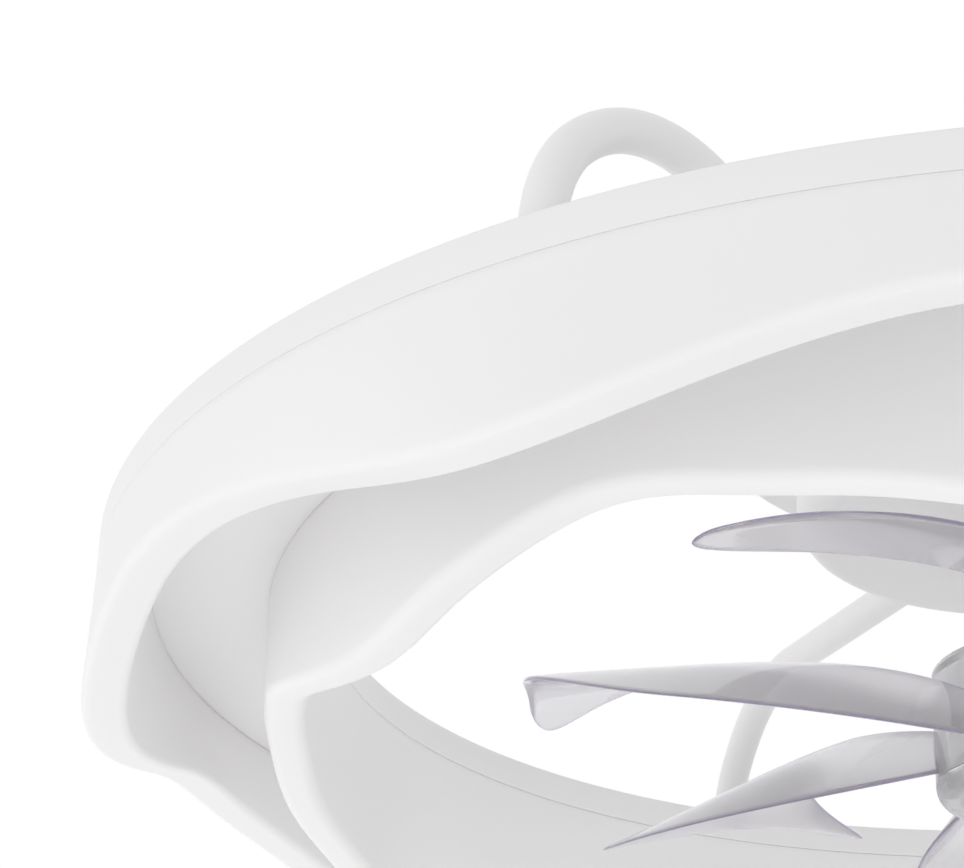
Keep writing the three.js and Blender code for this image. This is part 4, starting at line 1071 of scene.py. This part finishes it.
# ---- Camera: below the fan, looking up at the left part of the ring ----
CAMERA_DISTANCE = 717.0
CAMERA_BELOW = 21.42
CAMERA_YAW = 11.81
CAMERA_PITCH = 4.64
CAMERA_ROLL = 2.78
CAMERA_FOCAL_PIXELS = 2615.0
CAMERA_FRAME_PIXELS = 964.0
CAMERA_SENSOR = 36.0


def place_camera():
    """Aims at the middle of the ring's top, then turns away by yaw, pitch and roll."""
    below = math.radians(CAMERA_BELOW)
    offset = Vector((0, -math.cos(below), -math.sin(below))) * CAMERA_DISTANCE * MM
    forward = -offset.normalized()
    right = Vector((1, 0, 0))
    up = right.cross(forward)

    def turn(degrees, axis, *vectors):
        rotation = Matrix.Rotation(math.radians(degrees), 3, axis)
        return [rotation @ vector for vector in vectors]

    forward, right = turn(CAMERA_YAW, up, forward, right)
    forward, up = turn(CAMERA_PITCH, right, forward, up)
    right, up = turn(CAMERA_ROLL, forward, right, up)
    data = bpy.data.cameras.new("Camera")
    data.sensor_fit = "HORIZONTAL"
    data.sensor_width = CAMERA_SENSOR
    data.lens = CAMERA_FOCAL_PIXELS / CAMERA_FRAME_PIXELS * CAMERA_SENSOR
    data.clip_start = 0.01
    data.clip_end = 100
    camera = add_object("Camera", data)
    axes = Matrix((right, up, -forward)).transposed().to_4x4()
    camera.matrix_world = Matrix.Translation(offset + Vector((0, 0, ring_top * MM))) @ axes
    bpy.context.scene.camera = camera


place_camera()


# ---- Light and background ----
WORLD_LIGHT = 0.87
KEY_LIGHT = 0.2
KEY_SIDE = Vector((-0.6, -0.3, -0.75))


def background(tree, at):
    """A white background node with a strength of 1."""
    node = add_node(tree, "ShaderNodeBackground", at)
    node.inputs["Color"].default_value = (1, 1, 1, 1)
    node.inputs["Strength"].default_value = 1.0
    return node


def build_world():
    """Soft light from all round, stronger from the left and below, and plain white where the camera, gloss or
    clear plastic sees the background."""
    world = bpy.data.worlds.new("Studio")
    bpy.context.scene.world = world
    world.use_nodes = True
    tree = world.node_tree
    tree.nodes.clear()
    out = add_node(tree, "ShaderNodeOutputWorld", (600, 0))
    path = add_node(tree, "ShaderNodeLightPath", (-600, 200))
    f = Formula(tree)
    seen = f.math("MAXIMUM", path.outputs["Is Camera Ray"],
                  f.math("MAXIMUM", path.outputs["Is Glossy Ray"], path.outputs["Is Transmission Ray"]))
    place = add_node(tree, "ShaderNodeTexCoord", (-600, -200))
    towards = add_node(tree, "ShaderNodeVectorMath", (-400, -200), operation="DOT_PRODUCT")
    tree.links.new(place.outputs["Generated"], towards.inputs[0])
    towards.inputs[1].default_value = KEY_SIDE.normalized()
    soft, white = background(tree, (0, -100)), background(tree, (0, 100))
    f.feed(soft.inputs["Strength"], f.add(WORLD_LIGHT, f.mul(towards.outputs["Value"], KEY_LIGHT)))
    mix = add_node(tree, "ShaderNodeMixShader", (300, 0))
    f.feed(mix.inputs["Fac"], seen)
    tree.links.new(soft.outputs["Background"], mix.inputs[1])
    tree.links.new(white.outputs["Background"], mix.inputs[2])
    tree.links.new(mix.outputs["Shader"], out.inputs["Surface"])


def soft_box(name, place, aim, size, power):
    data = bpy.data.lights.new(name, "AREA")
    data.shape = "RECTANGLE"
    data.size, data.size_y = size
    data.energy = power
    lamp = add_object(name, data)
    lamp.location = place
    lamp.rotation_euler = (Vector(aim) - Vector(place)).to_track_quat("-Z", "Y").to_euler()


build_world()
soft_box("Left soft box", (-1.6, -0.5, -0.3), (0, 0, -0.1), (1.6, 1.4), 0.4)

bpy.context.scene.view_settings.view_transform = "Standard"
